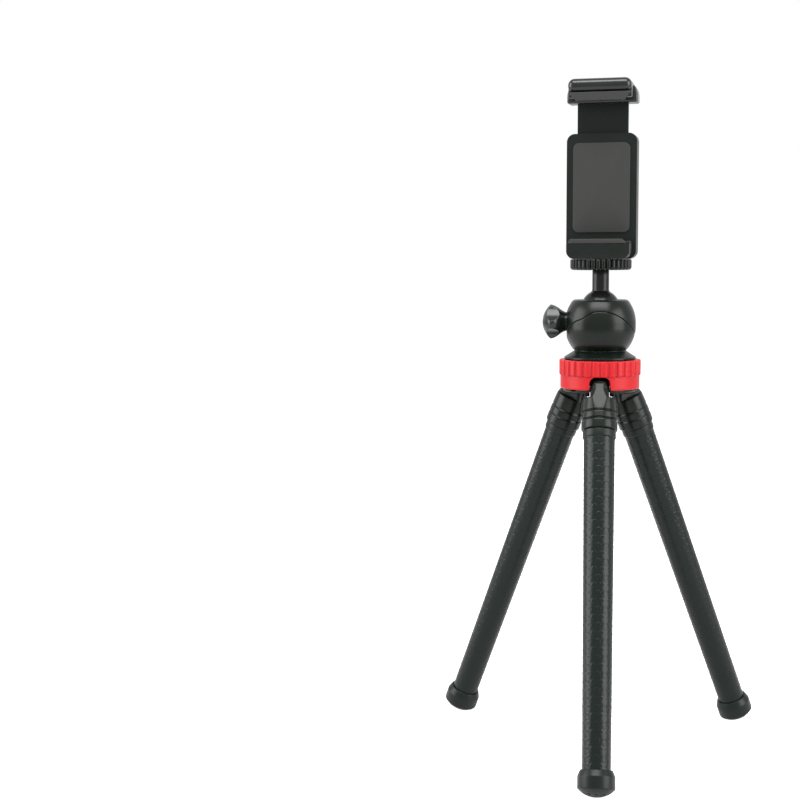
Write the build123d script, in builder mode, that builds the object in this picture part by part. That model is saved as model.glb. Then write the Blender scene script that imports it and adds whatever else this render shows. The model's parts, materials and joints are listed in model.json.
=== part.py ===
from build123d import *
from math import cos, pi, radians, sin, sqrt
import os

# Flexible leg tripod with a pan and ball head and a spring phone clamp.
# Millimetres, +Z up. The origin is on the floor, under the tripod's own axis.

# Fits and cuts, used everywhere
running_fit = 0.06
seat_fit = 0.05
joint_gap = 0.3
slide_gap = 0.1
cut_overrun = 2.0
hex_sides = 6

# Stance
leg_count = 3
front_leg_azimuth = -90
leg_splay = 22.1
leg_length = 195.25
pivot_radius = 12.9

# Leg connector, from the hinge pin down the leg
tongue_dome_radius = 6.0
tongue_dome_share = 0.4
tongue_width = 9.2
tongue_length = 6.8
connector_radius = 8.75
connector_waist_radius = 8.4
connector_shoulder_radius = 7.8
connector_length = 22.6
connector_chamfer = 0.5
groove_places = (14.0, 17.8)
groove_width = 0.5
groove_depth = 0.45
core_socket_start = 9.5

# Sleeve, core and foot
sleeve_top_radius = 7.55
sleeve_foot_radius = 6.7
collar_radius = 8.0
collar_length = 4.2
core_radius = 3.0
bend_shares = (0.19, 0.45, 0.71)
bend_gap = 0.45
foot_radius = 8.75
foot_length = 12.25
foot_rim_radius = 7.5
foot_shoulder_length = 3.0
foot_wall = 6.25
foot_dome_height = 3.75
core_end_cover = 1.0

# Crown, hinge pins and ring, heights from the level of the hinge pins
crown_radius = 18.3
crown_drop = 3.3
crown_edge_round = 1.2
slot_side_gap = 0.4
slot_end_gap = 0.4
hinge_pin_radius = 1.5
hinge_pin_length = 18.0
hinge_pin_head_radius = 2.4
hinge_pin_head_length = 1.2
skirt_radius = 19.6
skirt_drop = 1.5
knurl_radius = 20.15
knurl_rise = 4.7
knurl_height = 8.1
knurl_count = 30
knurl_groove_radius = 0.6
knurl_groove_out = 0.1
arch_width = 10.4
arch_rise = 4.9
arch_corner_radius = 2.6
ring_edge_chamfer = 0.5

# Pan joint
pan_bolt_radius = 3.0
pan_bolt_head_radius = 4.7
pan_bolt_head_height = 3.6
pan_bolt_socket_width = 5.0
pan_bolt_reach = 3.0
washer_radius = 4.8
washer_thickness = 0.8
web_rise = 4.2
spigot_radius = 9.0
spigot_depth = 2.4
pan_gap = 0.3
pan_collar_radius = 17.7
pan_collar_rim = 0.9
pan_collar_height = 3.9
pan_neck_inset = 0.4
pan_neck_height = 0.5

# Ball head
housing_radius = 17.4
housing_flat_inset = 4.2
housing_band = 2.3
split_crest_inset = 10.5
split_margin = 1.0
split_gap = 0.2
shell_proud = 0.15
ball_wall = 7.6
ball_rise = 7.7
ball_fit = 0.08
stem_radius = 4.15
stem_top_rise = 19.3
stud_radius = 3.175
stud_length = 10.6
stud_root = 9.0
stud_chamfer = 0.8
cup_inset = 0.6
cup_height = 10.4
cup_base = 6.4
cup_bore_radius = 4.0

# Clamping knob, along -X
knob_axis_rise = 1.5
knob_radius = 8.5
knob_length = 12.0
knob_neck_radius = 4.9
knob_flank_radius = 7.1
knob_belly = 4.2
knob_shoulder_radius = 5.8
knob_shoulder_drop = 1.0
knob_face_radius = 2.0
knob_lobes = 6
scallop_radius = 6.0
scallop_depth = 1.7
knob_flat_radius = 5.2
knob_screw_radius = 2.0
knob_screw_grip = 8.0
knob_nut_width = 7.0
knob_nut_thickness = 3.0
knob_nut_inset = 3.8
shoe_radius = 2.5
shoe_length = 2.6

# Lock disc on the camera stud
disc_radius = 15.1
disc_height = 5.3
disc_edge_radius = 1.6
disc_flutes = 36
flute_radius = 0.75
flute_out = 0.15

# Phone clamp: x across, y from front to back, z from the clamp's underside
clamp_yaw = -7
clamp_width = 34.5
clamp_front = 14.0
clamp_back = 8.4
lip_side_inset = 1.9
lip_corner_radius = 4.0
lip_thickness = 3.8
jaw_floor = 8.0
lip_rise = 9.8
lip_shell_top = 7.4
pad_thickness = 0.8
pad_inset = 0.4
gap_depth = 8.7
phone_gap = 68.4
body_wall = 1.8
body_side_wall = 3.2
body_height = 61.5
body_top_wall = 2.0
body_corner_radius = 4.0
cover_thickness = 1.6
cover_screw_radius = 0.9
cover_screw_head_radius = 1.5
cover_screw_head_height = 0.9
cover_screw_length = 5.0
cover_screw_inset = 1.65
cover_screw_drop = 5.5
insert_radius = 4.6
insert_height = 7.0
back_pad_side_inset = 3.25
back_pad_bottom = 13.0
back_pad_top = 57.0
back_pad_corner = 3.0

# Upper jaw and its slider, z from the clamp's underside
jaw_top = 87.1
jaw_lip_drop = 0.9
jaw_shell_bottom = 80.4
jaw_back_bottom = 76.2
jaw_shoulder_radius = 7.5
jaw_lip_end_radius = 4.2
jaw_pad_chamfer = 3.6
jaw_front_chamfer = 1.6
slider_side_inset = 4.75
slider_thickness = 2.4
slider_front = 2.9
slider_bottom = 33.0
slider_bar_height = 3.6
slider_bar_side_gap = 0.3
slider_bar_front_gap = 0.4
slider_grip = 8.0
slider_screw_radius = 1.1
slider_screw_head_radius = 2.1
slider_screw_head_height = 1.0
slider_screw_length = 7.4
slider_screw_spacing = 13.0
slider_slot_gap = 0.3

# Clamp springs
spring_turns = 11
spring_wire = 0.7
spring_radius = 2.1
spring_spacing = 14.0
spring_end_gap = 0.3

# Sizes that keep step with the housing and the clamp
housing_flat_radius = housing_radius - housing_flat_inset
pan_neck_radius = housing_flat_radius - pan_neck_inset
split_crest_rise = housing_radius - split_crest_inset
split_radius = housing_radius + split_margin
ball_radius = housing_radius - ball_wall
cup_radius = ball_radius - cup_inset
knob_nut_place = housing_radius - knob_nut_inset
lip_width = clamp_width - 2 * lip_side_inset
back_pad_width = clamp_width - 2 * back_pad_side_inset
slider_width = clamp_width - 2 * slider_side_inset

# Heights that follow from the sizes above
splay = radians(leg_splay)
foot_sphere_radius = (foot_radius**2 + foot_dome_height**2) / (2 * foot_dome_height)
foot_sphere_place = leg_length - foot_sphere_radius
pivot_height = foot_sphere_radius + foot_sphere_place * cos(splay)
crown_bottom = pivot_height - crown_drop
ring_bottom = pivot_height - skirt_drop
knurl_bottom = pivot_height + knurl_rise
ring_top = knurl_bottom + knurl_height
slot_top = pivot_height + tongue_dome_radius + slot_end_gap
web_bottom = pivot_height + web_rise
collar_bottom = ring_top + pan_gap
collar_top = collar_bottom + pan_collar_height + pan_neck_height
housing_cap = sqrt(housing_radius**2 - housing_flat_radius**2)
housing_half = housing_cap + housing_band / 2
housing_centre = collar_top + housing_half
housing_top = housing_centre + housing_half
split_centre = housing_centre + split_crest_rise - split_radius
ball_centre = housing_centre + ball_rise
stem_top = ball_centre + stem_top_rise
seat_radius = ball_radius + ball_fit
cup_bottom = ball_centre - ball_radius - cup_base
knob_axis = housing_centre + knob_axis_rise
disc_bottom = stem_top + slide_gap
clamp_bottom = disc_bottom + disc_height + slide_gap

sleeve_start = connector_length
foot_start = leg_length - foot_length
sleeve_end = foot_start + foot_wall
bends = [sleeve_start + share * (foot_start - sleeve_start) for share in bend_shares]


def sleeve_radius(place):
    taper = (sleeve_top_radius - sleeve_foot_radius) / (foot_start - sleeve_start)
    return sleeve_top_radius - taper * (place - sleeve_start)


def azimuth_of(leg):
    return front_leg_azimuth + leg * 360 / leg_count


def leg_plane(leg):
    """The leg's own plane: x outwards across the leg, y up the leg, from the hinge pin."""
    azimuth = radians(azimuth_of(leg))
    out = Vector(cos(azimuth), sin(azimuth), 0)
    across = out * cos(splay) + Vector(0, 0, sin(splay))
    side = Vector(sin(azimuth), -cos(azimuth), 0)
    return Plane(origin=out * pivot_radius + Vector(0, 0, pivot_height), x_dir=across, z_dir=side)


def leg_axis(plane):
    return Axis(plane.origin, plane.y_dir)


def rise(sphere_radius, at):
    """Height of a sphere's surface over its centre, at a distance from the axis."""
    return sqrt(max(sphere_radius**2 - at**2, 0))


def save(part, name):
    part.label = name
    export_step(part, f"parts/{name}.step")


os.makedirs("parts", exist_ok=True)


# Legs


def make_connector(plane):
    dome_end = tongue_dome_radius * tongue_dome_share
    dome_edge = rise(tongue_dome_radius, dome_end)
    half = tongue_dome_radius * sin(pi / 4)
    with BuildPart() as connector:
        with BuildSketch(plane):
            with BuildLine():
                ThreePointArc((0, tongue_dome_radius), (half, half), (dome_edge, -dome_end))
                Polyline(
                    (dome_edge, -dome_end),
                    (connector_shoulder_radius, -tongue_length),
                    (connector_waist_radius, -groove_places[0]),
                    (connector_radius, -groove_places[1]),
                    (connector_radius, -connector_length + connector_chamfer),
                    (connector_radius - connector_chamfer, -connector_length),
                    (0, -connector_length),
                    (0, tongue_dome_radius),
                )
            make_face()
        revolve(axis=leg_axis(plane))
        for side in (1, -1):
            with BuildSketch(plane.offset(side * tongue_width / 2)):
                with Locations((0, -tongue_length)):
                    Rectangle(
                        2 * connector_radius + cut_overrun,
                        tongue_length + tongue_dome_radius + cut_overrun,
                        align=(Align.CENTER, Align.MIN),
                    )
            extrude(amount=side * connector_radius, mode=Mode.SUBTRACT)
        for place in groove_places:
            with BuildSketch(plane):
                with Locations((connector_radius, -place)):
                    Rectangle(2 * groove_depth, groove_width)
            revolve(axis=leg_axis(plane), mode=Mode.SUBTRACT)
        with BuildSketch(plane):
            Circle(hinge_pin_radius + running_fit)
        extrude(amount=tongue_width, both=True, mode=Mode.SUBTRACT)
        with BuildSketch(plane):
            with Locations((0, -connector_length)):
                Rectangle(
                    core_radius + seat_fit,
                    connector_length - core_socket_start,
                    align=(Align.MIN, Align.MIN),
                )
        revolve(axis=leg_axis(plane), mode=Mode.SUBTRACT)
    return connector.part


def make_limb(plane, top, bottom, inner, outer_top, outer_bottom, dome=0, cup=0, collar=False):
    """A length of sleeve or core: a dome on top and a cup below where the leg bends."""
    top_outer = (outer_top, rise(dome, outer_top) - top)
    top_inner = (inner, rise(dome, inner) - top)
    low_outer = (outer_bottom, rise(cup, outer_bottom) - bottom)
    low_inner = (inner, rise(cup, inner) - bottom)
    with BuildPart() as limb:
        with BuildSketch(plane):
            with BuildLine():
                if dome:
                    middle = (inner + outer_top) / 2
                    ThreePointArc(top_inner, (middle, rise(dome, middle) - top), top_outer)
                else:
                    Line(top_inner, top_outer)
                Line(top_outer, low_outer)
                if cup:
                    middle = (inner + outer_bottom) / 2
                    ThreePointArc(low_outer, (middle, rise(cup, middle) - bottom), low_inner)
                else:
                    Line(low_outer, low_inner)
                Line(low_inner, top_inner)
            make_face()
        revolve(axis=leg_axis(plane))
        if collar:
            with BuildSketch(plane):
                with Locations((inner, -top)):
                    Rectangle(collar_radius - inner, collar_length, align=(Align.MIN, Align.MAX))
            revolve(axis=leg_axis(plane))
    return limb.part


def make_foot(plane):
    pocket = sleeve_radius(foot_start) + seat_fit
    dome_start = leg_length - foot_dome_height
    half = foot_radius / 2
    with BuildPart() as foot:
        with BuildSketch(plane):
            with BuildLine():
                Polyline(
                    (0, -sleeve_end),
                    (pocket, -sleeve_end),
                    (pocket, -foot_start),
                    (foot_rim_radius, -foot_start),
                    (foot_radius, -foot_start - foot_shoulder_length),
                    (foot_radius, -dome_start),
                )
                ThreePointArc(
                    (foot_radius, -dome_start),
                    (half, -foot_sphere_place - rise(foot_sphere_radius, half)),
                    (0, -leg_length),
                )
                Line((0, -leg_length), (0, -sleeve_end))
            make_face()
        revolve(axis=leg_axis(plane))
    return foot.part


for leg in range(leg_count):
    plane = leg_plane(leg)
    name = f"leg_{leg + 1}"
    save(make_connector(plane), f"{name}_connector")
    starts = [sleeve_start] + bends
    ends = bends + [sleeve_end]
    for index, letter in enumerate("abcd"):
        top = starts[index]
        bottom = ends[index]
        top_radius = sleeve_radius(top)
        bottom_radius = sleeve_radius(bottom)
        dome = top_radius if index else 0
        cup = bottom_radius + bend_gap if bottom in bends else 0
        bore = core_radius + seat_fit
        sleeve = make_limb(plane, top, bottom, bore, top_radius, bottom_radius, dome, cup, index == 0)
        save(sleeve, f"{name}_sleeve_{letter}")
        core_top = top if index else core_socket_start + core_end_cover
        core_bottom = bottom if cup else bottom - core_end_cover
        core = make_limb(plane, core_top, core_bottom, 0, core_radius, core_radius, dome, cup)
        save(core, f"{name}_core_{letter}")
    save(make_foot(plane), f"{name}_foot")


# Crown, pins and ring

with BuildPart() as crown:
    with BuildSketch(Plane.XY.offset(crown_bottom)):
        Circle(crown_radius)
    extrude(amount=ring_top - crown_bottom)
    fillet(crown.edges().sort_by(Axis.Z)[0], crown_edge_round)
    for leg in range(leg_count):
        with BuildSketch(Plane.XY.offset(crown_bottom)):
            with Locations(Location((0, 0, 0), (0, 0, azimuth_of(leg)))):
                with Locations((pivot_radius - tongue_dome_radius - slot_end_gap, 0)):
                    Rectangle(
                        crown_radius, tongue_width + 2 * slot_side_gap, align=(Align.MIN, Align.CENTER)
                    )
        extrude(amount=slot_top - crown_bottom, mode=Mode.SUBTRACT)
        with BuildSketch(leg_plane(leg)):
            Circle(hinge_pin_radius)
        extrude(amount=hinge_pin_length, both=True, mode=Mode.SUBTRACT)
        with BuildSketch(leg_plane(leg).offset(hinge_pin_length / 2)):
            Circle(hinge_pin_head_radius)
        extrude(amount=hinge_pin_length, mode=Mode.SUBTRACT)
    with BuildSketch(Plane.XY.offset(crown_bottom)):
        Circle(washer_radius + seat_fit)
    extrude(amount=web_bottom - crown_bottom, mode=Mode.SUBTRACT)
    with BuildSketch(Plane.XY.offset(web_bottom)):
        Circle(pan_bolt_radius + running_fit)
    extrude(amount=ring_top - web_bottom, mode=Mode.SUBTRACT)
    with BuildSketch(Plane.XY.offset(ring_top)):
        Circle(spigot_radius + running_fit)
    extrude(amount=-spigot_depth, mode=Mode.SUBTRACT)
save(crown.part, "crown")

with BuildPart() as hinge_pins:
    for leg in range(leg_count):
        plane = leg_plane(leg)
        with BuildSketch(plane.offset(-hinge_pin_length / 2)):
            Circle(hinge_pin_radius)
        extrude(amount=hinge_pin_length)
        with BuildSketch(plane.offset(hinge_pin_length / 2)):
            Circle(hinge_pin_head_radius)
        extrude(amount=hinge_pin_head_length)
save(hinge_pins.part, "leg_hinge_pins")

with BuildPart() as lock_ring:
    with BuildSketch(Plane.XZ):
        with BuildLine():
            Polyline(
                (crown_radius + seat_fit, ring_bottom),
                (skirt_radius, ring_bottom),
                (skirt_radius, knurl_bottom),
                (knurl_radius - ring_edge_chamfer / 2, knurl_bottom),
                (knurl_radius, knurl_bottom + ring_edge_chamfer),
                (knurl_radius, ring_top - ring_edge_chamfer),
                (knurl_radius - ring_edge_chamfer, ring_top),
                (crown_radius + seat_fit, ring_top),
                close=True,
            )
        make_face()
    revolve(axis=Axis.Z)
    with BuildSketch(Plane.XY.offset(knurl_bottom)):
        with PolarLocations(knurl_radius + knurl_groove_out, knurl_count, start_angle=180 / knurl_count):
            Circle(knurl_groove_radius)
    extrude(amount=knurl_height, mode=Mode.SUBTRACT)
    for leg in range(leg_count):
        azimuth = radians(azimuth_of(leg))
        out = Vector(cos(azimuth), sin(azimuth), 0)
        front = Plane(origin=Vector(0, 0, ring_bottom), x_dir=out.cross(Vector(0, 0, 1)), z_dir=-out)
        with BuildSketch(front):
            with Locations((0, arch_rise + skirt_drop)):
                RectangleRounded(
                    arch_width,
                    2 * (arch_rise + skirt_drop),
                    arch_corner_radius,
                    align=(Align.CENTER, Align.MAX),
                )
        extrude(amount=-2 * skirt_radius, mode=Mode.SUBTRACT)
save(lock_ring.part, "lock_ring")


# Pan joint

with BuildPart() as pan_washer:
    with BuildSketch(Plane.XY.offset(web_bottom)):
        Circle(washer_radius)
        Circle(pan_bolt_radius + running_fit, mode=Mode.SUBTRACT)
    extrude(amount=-washer_thickness)
save(pan_washer.part, "pan_washer")

bolt_seat = web_bottom - washer_thickness - slide_gap
with BuildPart() as pan_bolt:
    with BuildSketch(Plane.XY.offset(bolt_seat)):
        Circle(pan_bolt_radius)
    extrude(amount=collar_top + pan_bolt_reach - bolt_seat)
    with BuildSketch(Plane.XY.offset(bolt_seat)):
        Circle(pan_bolt_head_radius)
    extrude(amount=-pan_bolt_head_height)
    with BuildSketch(Plane.XY.offset(bolt_seat - pan_bolt_head_height)):
        RegularPolygon(pan_bolt_socket_width / 2, hex_sides, major_radius=False)
    extrude(amount=pan_bolt_head_height / 2, mode=Mode.SUBTRACT)
save(pan_bolt.part, "pan_bolt")

with BuildPart() as pan_collar:
    with BuildSketch(Plane.XZ):
        with BuildLine():
            Polyline(
                (pan_bolt_radius, ring_top - spigot_depth + slide_gap),
                (spigot_radius, ring_top - spigot_depth + slide_gap),
                (spigot_radius, collar_bottom),
                (pan_collar_radius, collar_bottom),
                (pan_collar_radius, collar_bottom + pan_collar_rim),
                (pan_neck_radius, collar_bottom + pan_collar_height),
                (pan_neck_radius, collar_top),
                (pan_bolt_radius, collar_top),
                close=True,
            )
        make_face()
    revolve(axis=Axis.Z)
save(pan_collar.part, "pan_collar")


# Ball head. Both shells share one inside: the ball's seat, the cup's chamber, the knob's bore and flat.


def housing_profile(radius):
    """Half outline of a sphere that is parted by a straight band and cut flat above and below."""
    flat = sqrt(radius**2 - housing_cap**2)
    low = housing_centre - housing_band / 2
    high = housing_centre + housing_band / 2
    Line((radius, low), (radius, high))
    TangentArc((radius, high), (flat, housing_top), tangent=(0, 1))
    TangentArc((radius, low), (flat, housing_centre - housing_half), tangent=(0, -1))
    Polyline(
        (flat, housing_top), (0, housing_top), (0, housing_centre - housing_half),
        (flat, housing_centre - housing_half),
    )


knob_plane = Plane(origin=(0, 0, knob_axis), x_dir=(0, 1, 0), z_dir=(-1, 0, 0))
knob_face_flat = sqrt(housing_radius**2 - knob_flat_radius**2)
ball_flank = rise(seat_radius, ball_centre - knob_axis)
shoe_end = ball_flank + shoe_length

with BuildPart() as housing_inside:
    with Locations((0, 0, ball_centre)):
        Sphere(seat_radius)
    with BuildSketch(Plane.XY.offset(cup_bottom)):
        Circle(cup_radius + seat_fit)
    extrude(amount=ball_centre - cup_bottom)
    with BuildSketch(Plane.XY.offset(collar_top - cut_overrun)):
        Circle(pan_bolt_radius)
    extrude(amount=pan_bolt_reach + cut_overrun)
    with BuildSketch(knob_plane):
        Circle(shoe_radius + seat_fit)
    extrude(amount=shoe_end + slide_gap)
    with BuildSketch(knob_plane):
        Circle(knob_screw_radius + running_fit)
    extrude(amount=housing_radius + cut_overrun)
    with BuildSketch(knob_plane.offset(knob_nut_place - knob_nut_thickness / 2)):
        RegularPolygon(knob_nut_width / 2 + seat_fit, hex_sides, major_radius=False)
    extrude(amount=knob_nut_thickness)
    with BuildSketch(knob_plane.offset(knob_face_flat)):
        Circle(housing_radius)
    extrude(amount=housing_radius)

with BuildPart() as housing_lower:
    with BuildSketch(Plane.XZ):
        with BuildLine():
            housing_profile(housing_radius)
        make_face()
    revolve(axis=Axis.Z)
    with BuildSketch(Plane.XZ):
        with Locations((0, split_centre)):
            Circle(split_radius)
    extrude(amount=housing_radius + cut_overrun, both=True, mode=Mode.INTERSECT)
    add(housing_inside.part, mode=Mode.SUBTRACT)
save(housing_lower.part, "housing_lower_shell")

with BuildPart() as housing_upper:
    with BuildSketch(Plane.XZ):
        with BuildLine():
            housing_profile(housing_radius + shell_proud)
        make_face()
    revolve(axis=Axis.Z)
    with BuildSketch(Plane.XZ):
        with Locations((0, split_centre)):
            Circle(split_radius + split_gap)
    extrude(amount=housing_radius + cut_overrun, both=True, mode=Mode.SUBTRACT)
    add(housing_inside.part, mode=Mode.SUBTRACT)
save(housing_upper.part, "housing_upper_shell")

with BuildPart() as ball_cup:
    with BuildSketch(Plane.XY.offset(cup_bottom)):
        Circle(cup_radius)
        Circle(cup_bore_radius, mode=Mode.SUBTRACT)
    extrude(amount=cup_height)
    with Locations((0, 0, ball_centre)):
        Sphere(seat_radius, mode=Mode.SUBTRACT)
    with BuildSketch(Plane.YZ.offset(-cup_radius - cut_overrun)):
        with Locations((0, knob_axis)):
            Circle(shoe_radius + seat_fit)
    extrude(amount=cup_radius + cut_overrun, mode=Mode.SUBTRACT)
save(ball_cup.part, "ball_cup")

with BuildPart() as ball:
    with Locations((0, 0, ball_centre)):
        Sphere(ball_radius)
    with BuildSketch(Plane.XY.offset(ball_centre)):
        Circle(stem_radius)
    extrude(amount=stem_top_rise)
    with BuildSketch(Plane.XY.offset(stem_top - stud_root)):
        Circle(stud_radius)
    extrude(amount=stud_root, mode=Mode.SUBTRACT)
save(ball.part, "ball_and_stem")

with BuildPart() as camera_stud:
    with BuildSketch(Plane.XY.offset(stem_top - stud_root)):
        Circle(stud_radius)
    extrude(amount=stud_root + stud_length)
    chamfer(camera_stud.edges().sort_by(Axis.Z)[-1], stud_chamfer)
save(camera_stud.part, "camera_stud")

with BuildPart() as clamp_shoe:
    with BuildSketch(knob_plane.offset(ball_flank / 2)):
        Circle(shoe_radius)
    extrude(amount=shoe_end - ball_flank / 2)
    with Locations((0, 0, ball_centre)):
        Sphere(seat_radius, mode=Mode.SUBTRACT)
save(clamp_shoe.part, "ball_clamp_shoe")

with BuildPart() as knob_nut:
    with BuildSketch(knob_plane.offset(knob_nut_place - knob_nut_thickness / 2)):
        RegularPolygon(knob_nut_width / 2, hex_sides, major_radius=False)
        Circle(knob_screw_radius + running_fit, mode=Mode.SUBTRACT)
    extrude(amount=knob_nut_thickness)
save(knob_nut.part, "knob_nut")

knob_start = knob_face_flat + joint_gap
knob_end = knob_start + knob_length
with BuildPart() as knob_screw:
    with BuildSketch(knob_plane.offset(shoe_end + slide_gap)):
        Circle(knob_screw_radius)
    extrude(amount=knob_start + knob_screw_grip - shoe_end - slide_gap)
save(knob_screw.part, "knob_screw")

knob_profile_plane = Plane(origin=(0, 0, knob_axis), x_dir=(-1, 0, 0), z_dir=(0, 1, 0))
with BuildPart() as knob:
    with BuildSketch(knob_profile_plane):
        with BuildLine():
            Line((knob_start, 0), (knob_start, knob_neck_radius))
            ThreePointArc(
                (knob_start, knob_neck_radius),
                ((knob_start + knob_end - knob_belly) / 2, knob_flank_radius),
                (knob_end - knob_belly, knob_radius),
            )
            ThreePointArc(
                (knob_end - knob_belly, knob_radius),
                (knob_end - knob_shoulder_drop, knob_shoulder_radius),
                (knob_end, knob_face_radius),
            )
            Line((knob_end, knob_face_radius), (knob_end, 0))
            Line((knob_end, 0), (knob_start, 0))
        make_face()
    revolve(axis=Axis((0, 0, knob_axis), (1, 0, 0)))
    with BuildSketch(knob_plane.offset(knob_start)):
        with PolarLocations(knob_radius + scallop_radius - scallop_depth, knob_lobes):
            Circle(scallop_radius)
    extrude(amount=knob_length, mode=Mode.SUBTRACT)
    with BuildSketch(knob_plane.offset(knob_start)):
        Circle(knob_screw_radius)
    extrude(amount=knob_screw_grip, mode=Mode.SUBTRACT)
save(knob.part, "knob")


# Lock disc on the stud, under the clamp

with BuildPart() as lock_disc:
    with BuildSketch(Plane.XY.offset(disc_bottom)):
        Circle(disc_radius)
    extrude(amount=disc_height)
    fillet(lock_disc.edges().sort_by(Axis.Z)[0], disc_edge_radius)
    with BuildSketch(Plane.XY.offset(disc_bottom)):
        Circle(stud_radius + running_fit)
    extrude(amount=disc_height, mode=Mode.SUBTRACT)
    with BuildSketch(Plane.XY.offset(disc_bottom)):
        with PolarLocations(disc_radius + flute_out, disc_flutes):
            Circle(flute_radius)
    extrude(amount=disc_height, mode=Mode.SUBTRACT)
save(lock_disc.part, "lock_disc")


# Phone clamp, turned a little about the stud

yaw = radians(clamp_yaw)
across = Vector(cos(yaw), sin(yaw), 0)
backwards = Vector(-sin(yaw), cos(yaw), 0)
upwards = Vector(0, 0, 1)


def clamp_point(x, y, z):
    return across * x + backwards * y + upwards * (clamp_bottom + z)


def level_plane(z):
    """Looking down on the clamp: x across, y backwards."""
    return Plane(origin=clamp_point(0, 0, z), x_dir=across, z_dir=upwards)


def side_plane(x):
    """Across the clamp: x backwards, y up, from the clamp's underside."""
    return Plane(origin=clamp_point(x, 0, 0), x_dir=backwards, z_dir=across)


def front_plane(y):
    """Facing the clamp: x across, y up, from the clamp's underside; it extrudes forwards."""
    return Plane(origin=clamp_point(0, y, 0), x_dir=across, z_dir=-backwards)


lip_inside = clamp_front - lip_thickness
pad_front = clamp_front - pad_inset
gap_back = gap_depth - lip_inside
body_front = gap_back + pad_thickness
phone_bottom = jaw_floor + pad_thickness
phone_top = phone_bottom + phone_gap
cavity_front = body_front + body_wall
cavity_half = clamp_width / 2 - body_side_wall
cavity_top = body_height - body_top_wall
slider_middle = slider_front + slider_thickness / 2
bar_front = cavity_front + slider_bar_front_gap
bar_back = clamp_back - slider_bar_front_gap
screw_place = clamp_width / 2 - cover_screw_inset
screw_heights = (cover_screw_drop, body_height - cover_screw_drop)
cover_screw_places = [(side * screw_place, height) for side in (-1, 1) for height in screw_heights]

with BuildPart() as lower_lip:
    with BuildSketch(side_plane(-lip_width / 2)):
        with BuildLine():
            Polyline(
                (-clamp_front, 0),
                (body_front, 0),
                (body_front, jaw_floor),
                (-lip_inside, jaw_floor),
                (-lip_inside, lip_shell_top),
                (-clamp_front, lip_shell_top),
                close=True,
            )
        make_face()
    extrude(amount=lip_width)
    with BuildSketch(front_plane(body_front)):
        with Locations((0, body_height / 2)):
            RectangleRounded(lip_width, body_height, lip_corner_radius)
    extrude(amount=body_front + clamp_front, mode=Mode.INTERSECT)

with BuildPart() as lower_jaw:
    with BuildSketch(side_plane(-clamp_width / 2)):
        with BuildLine():
            Polyline(
                (body_front, 0),
                (clamp_back, 0),
                (clamp_back, body_height),
                (body_front, body_height),
                close=True,
            )
        make_face()
    extrude(amount=clamp_width)
    with BuildSketch(front_plane(clamp_back)):
        with Locations((0, body_height / 2)):
            RectangleRounded(clamp_width, body_height, body_corner_radius)
    extrude(amount=clamp_back - body_front, mode=Mode.INTERSECT)
    add(lower_lip.part)
    with BuildSketch(side_plane(-cavity_half)):
        with Locations((cavity_front, jaw_floor)):
            Rectangle(clamp_back - cavity_front, cavity_top - jaw_floor, align=(Align.MIN, Align.MIN))
    extrude(amount=2 * cavity_half, mode=Mode.SUBTRACT)
    with BuildSketch(level_plane(cavity_top)):
        with Locations((0, slider_middle)):
            Rectangle(slider_width + 2 * slider_slot_gap, slider_thickness + 2 * slider_slot_gap)
    extrude(amount=body_top_wall, mode=Mode.SUBTRACT)
    with BuildSketch(level_plane(0)):
        Circle(insert_radius)
    extrude(amount=insert_height, mode=Mode.SUBTRACT)
    with BuildSketch(front_plane(clamp_back)):
        with Locations(*cover_screw_places):
            Circle(cover_screw_radius)
    extrude(amount=cover_screw_length, mode=Mode.SUBTRACT)
save(lower_jaw.part, "clamp_lower_jaw")

with BuildPart() as back_cover:
    with BuildSketch(front_plane(clamp_back + cover_thickness)):
        with Locations((0, body_height / 2)):
            RectangleRounded(clamp_width, body_height, body_corner_radius)
    extrude(amount=cover_thickness)
    with BuildSketch(front_plane(clamp_back + cover_thickness)):
        with Locations(*cover_screw_places):
            Circle(cover_screw_radius)
    extrude(amount=cover_thickness, mode=Mode.SUBTRACT)
    with BuildSketch(front_plane(clamp_back + cover_thickness)):
        with Locations(*cover_screw_places):
            Circle(cover_screw_head_radius)
    extrude(amount=cover_screw_head_height, mode=Mode.SUBTRACT)
save(back_cover.part, "clamp_back_cover")

with BuildPart() as cover_screws:
    with BuildSketch(front_plane(clamp_back + cover_thickness)):
        with Locations(*cover_screw_places):
            Circle(cover_screw_head_radius)
    extrude(amount=cover_screw_head_height)
    with BuildSketch(front_plane(clamp_back + cover_thickness)):
        with Locations(*cover_screw_places):
            Circle(cover_screw_radius)
    extrude(amount=cover_screw_length)
save(cover_screws.part, "clamp_cover_screws")

with BuildPart() as insert:
    with BuildSketch(level_plane(0)):
        Circle(insert_radius)
        Circle(stud_radius + running_fit, mode=Mode.SUBTRACT)
    extrude(amount=insert_height)
save(insert.part, "clamp_thread_insert")

with BuildPart() as lower_pad:
    with BuildSketch(side_plane(-lip_width / 2 + pad_inset)):
        with BuildLine():
            Polyline(
                (-pad_front, lip_shell_top),
                (-lip_inside, lip_shell_top),
                (-lip_inside, jaw_floor),
                (gap_back, jaw_floor),
                (gap_back, phone_bottom),
                (-lip_inside, phone_bottom),
                (-lip_inside, lip_rise),
                (-pad_front, lip_rise),
                close=True,
            )
        make_face()
    extrude(amount=lip_width - 2 * pad_inset)
save(lower_pad.part, "lower_jaw_pad")

with BuildPart() as back_pad:
    with BuildSketch(front_plane(body_front)):
        with Locations((0, (back_pad_bottom + back_pad_top) / 2)):
            RectangleRounded(back_pad_width, back_pad_top - back_pad_bottom, back_pad_corner)
    extrude(amount=pad_thickness)
save(back_pad.part, "clamp_back_pad")

jaw_back = clamp_back + cover_thickness
ceiling = phone_top + pad_thickness
slider_top = jaw_back_bottom + slider_grip
slider_screw_height = jaw_back_bottom + slider_grip / 2
slider_screw_places = [(side * slider_screw_spacing / 2, slider_screw_height) for side in (-1, 1)]

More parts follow.
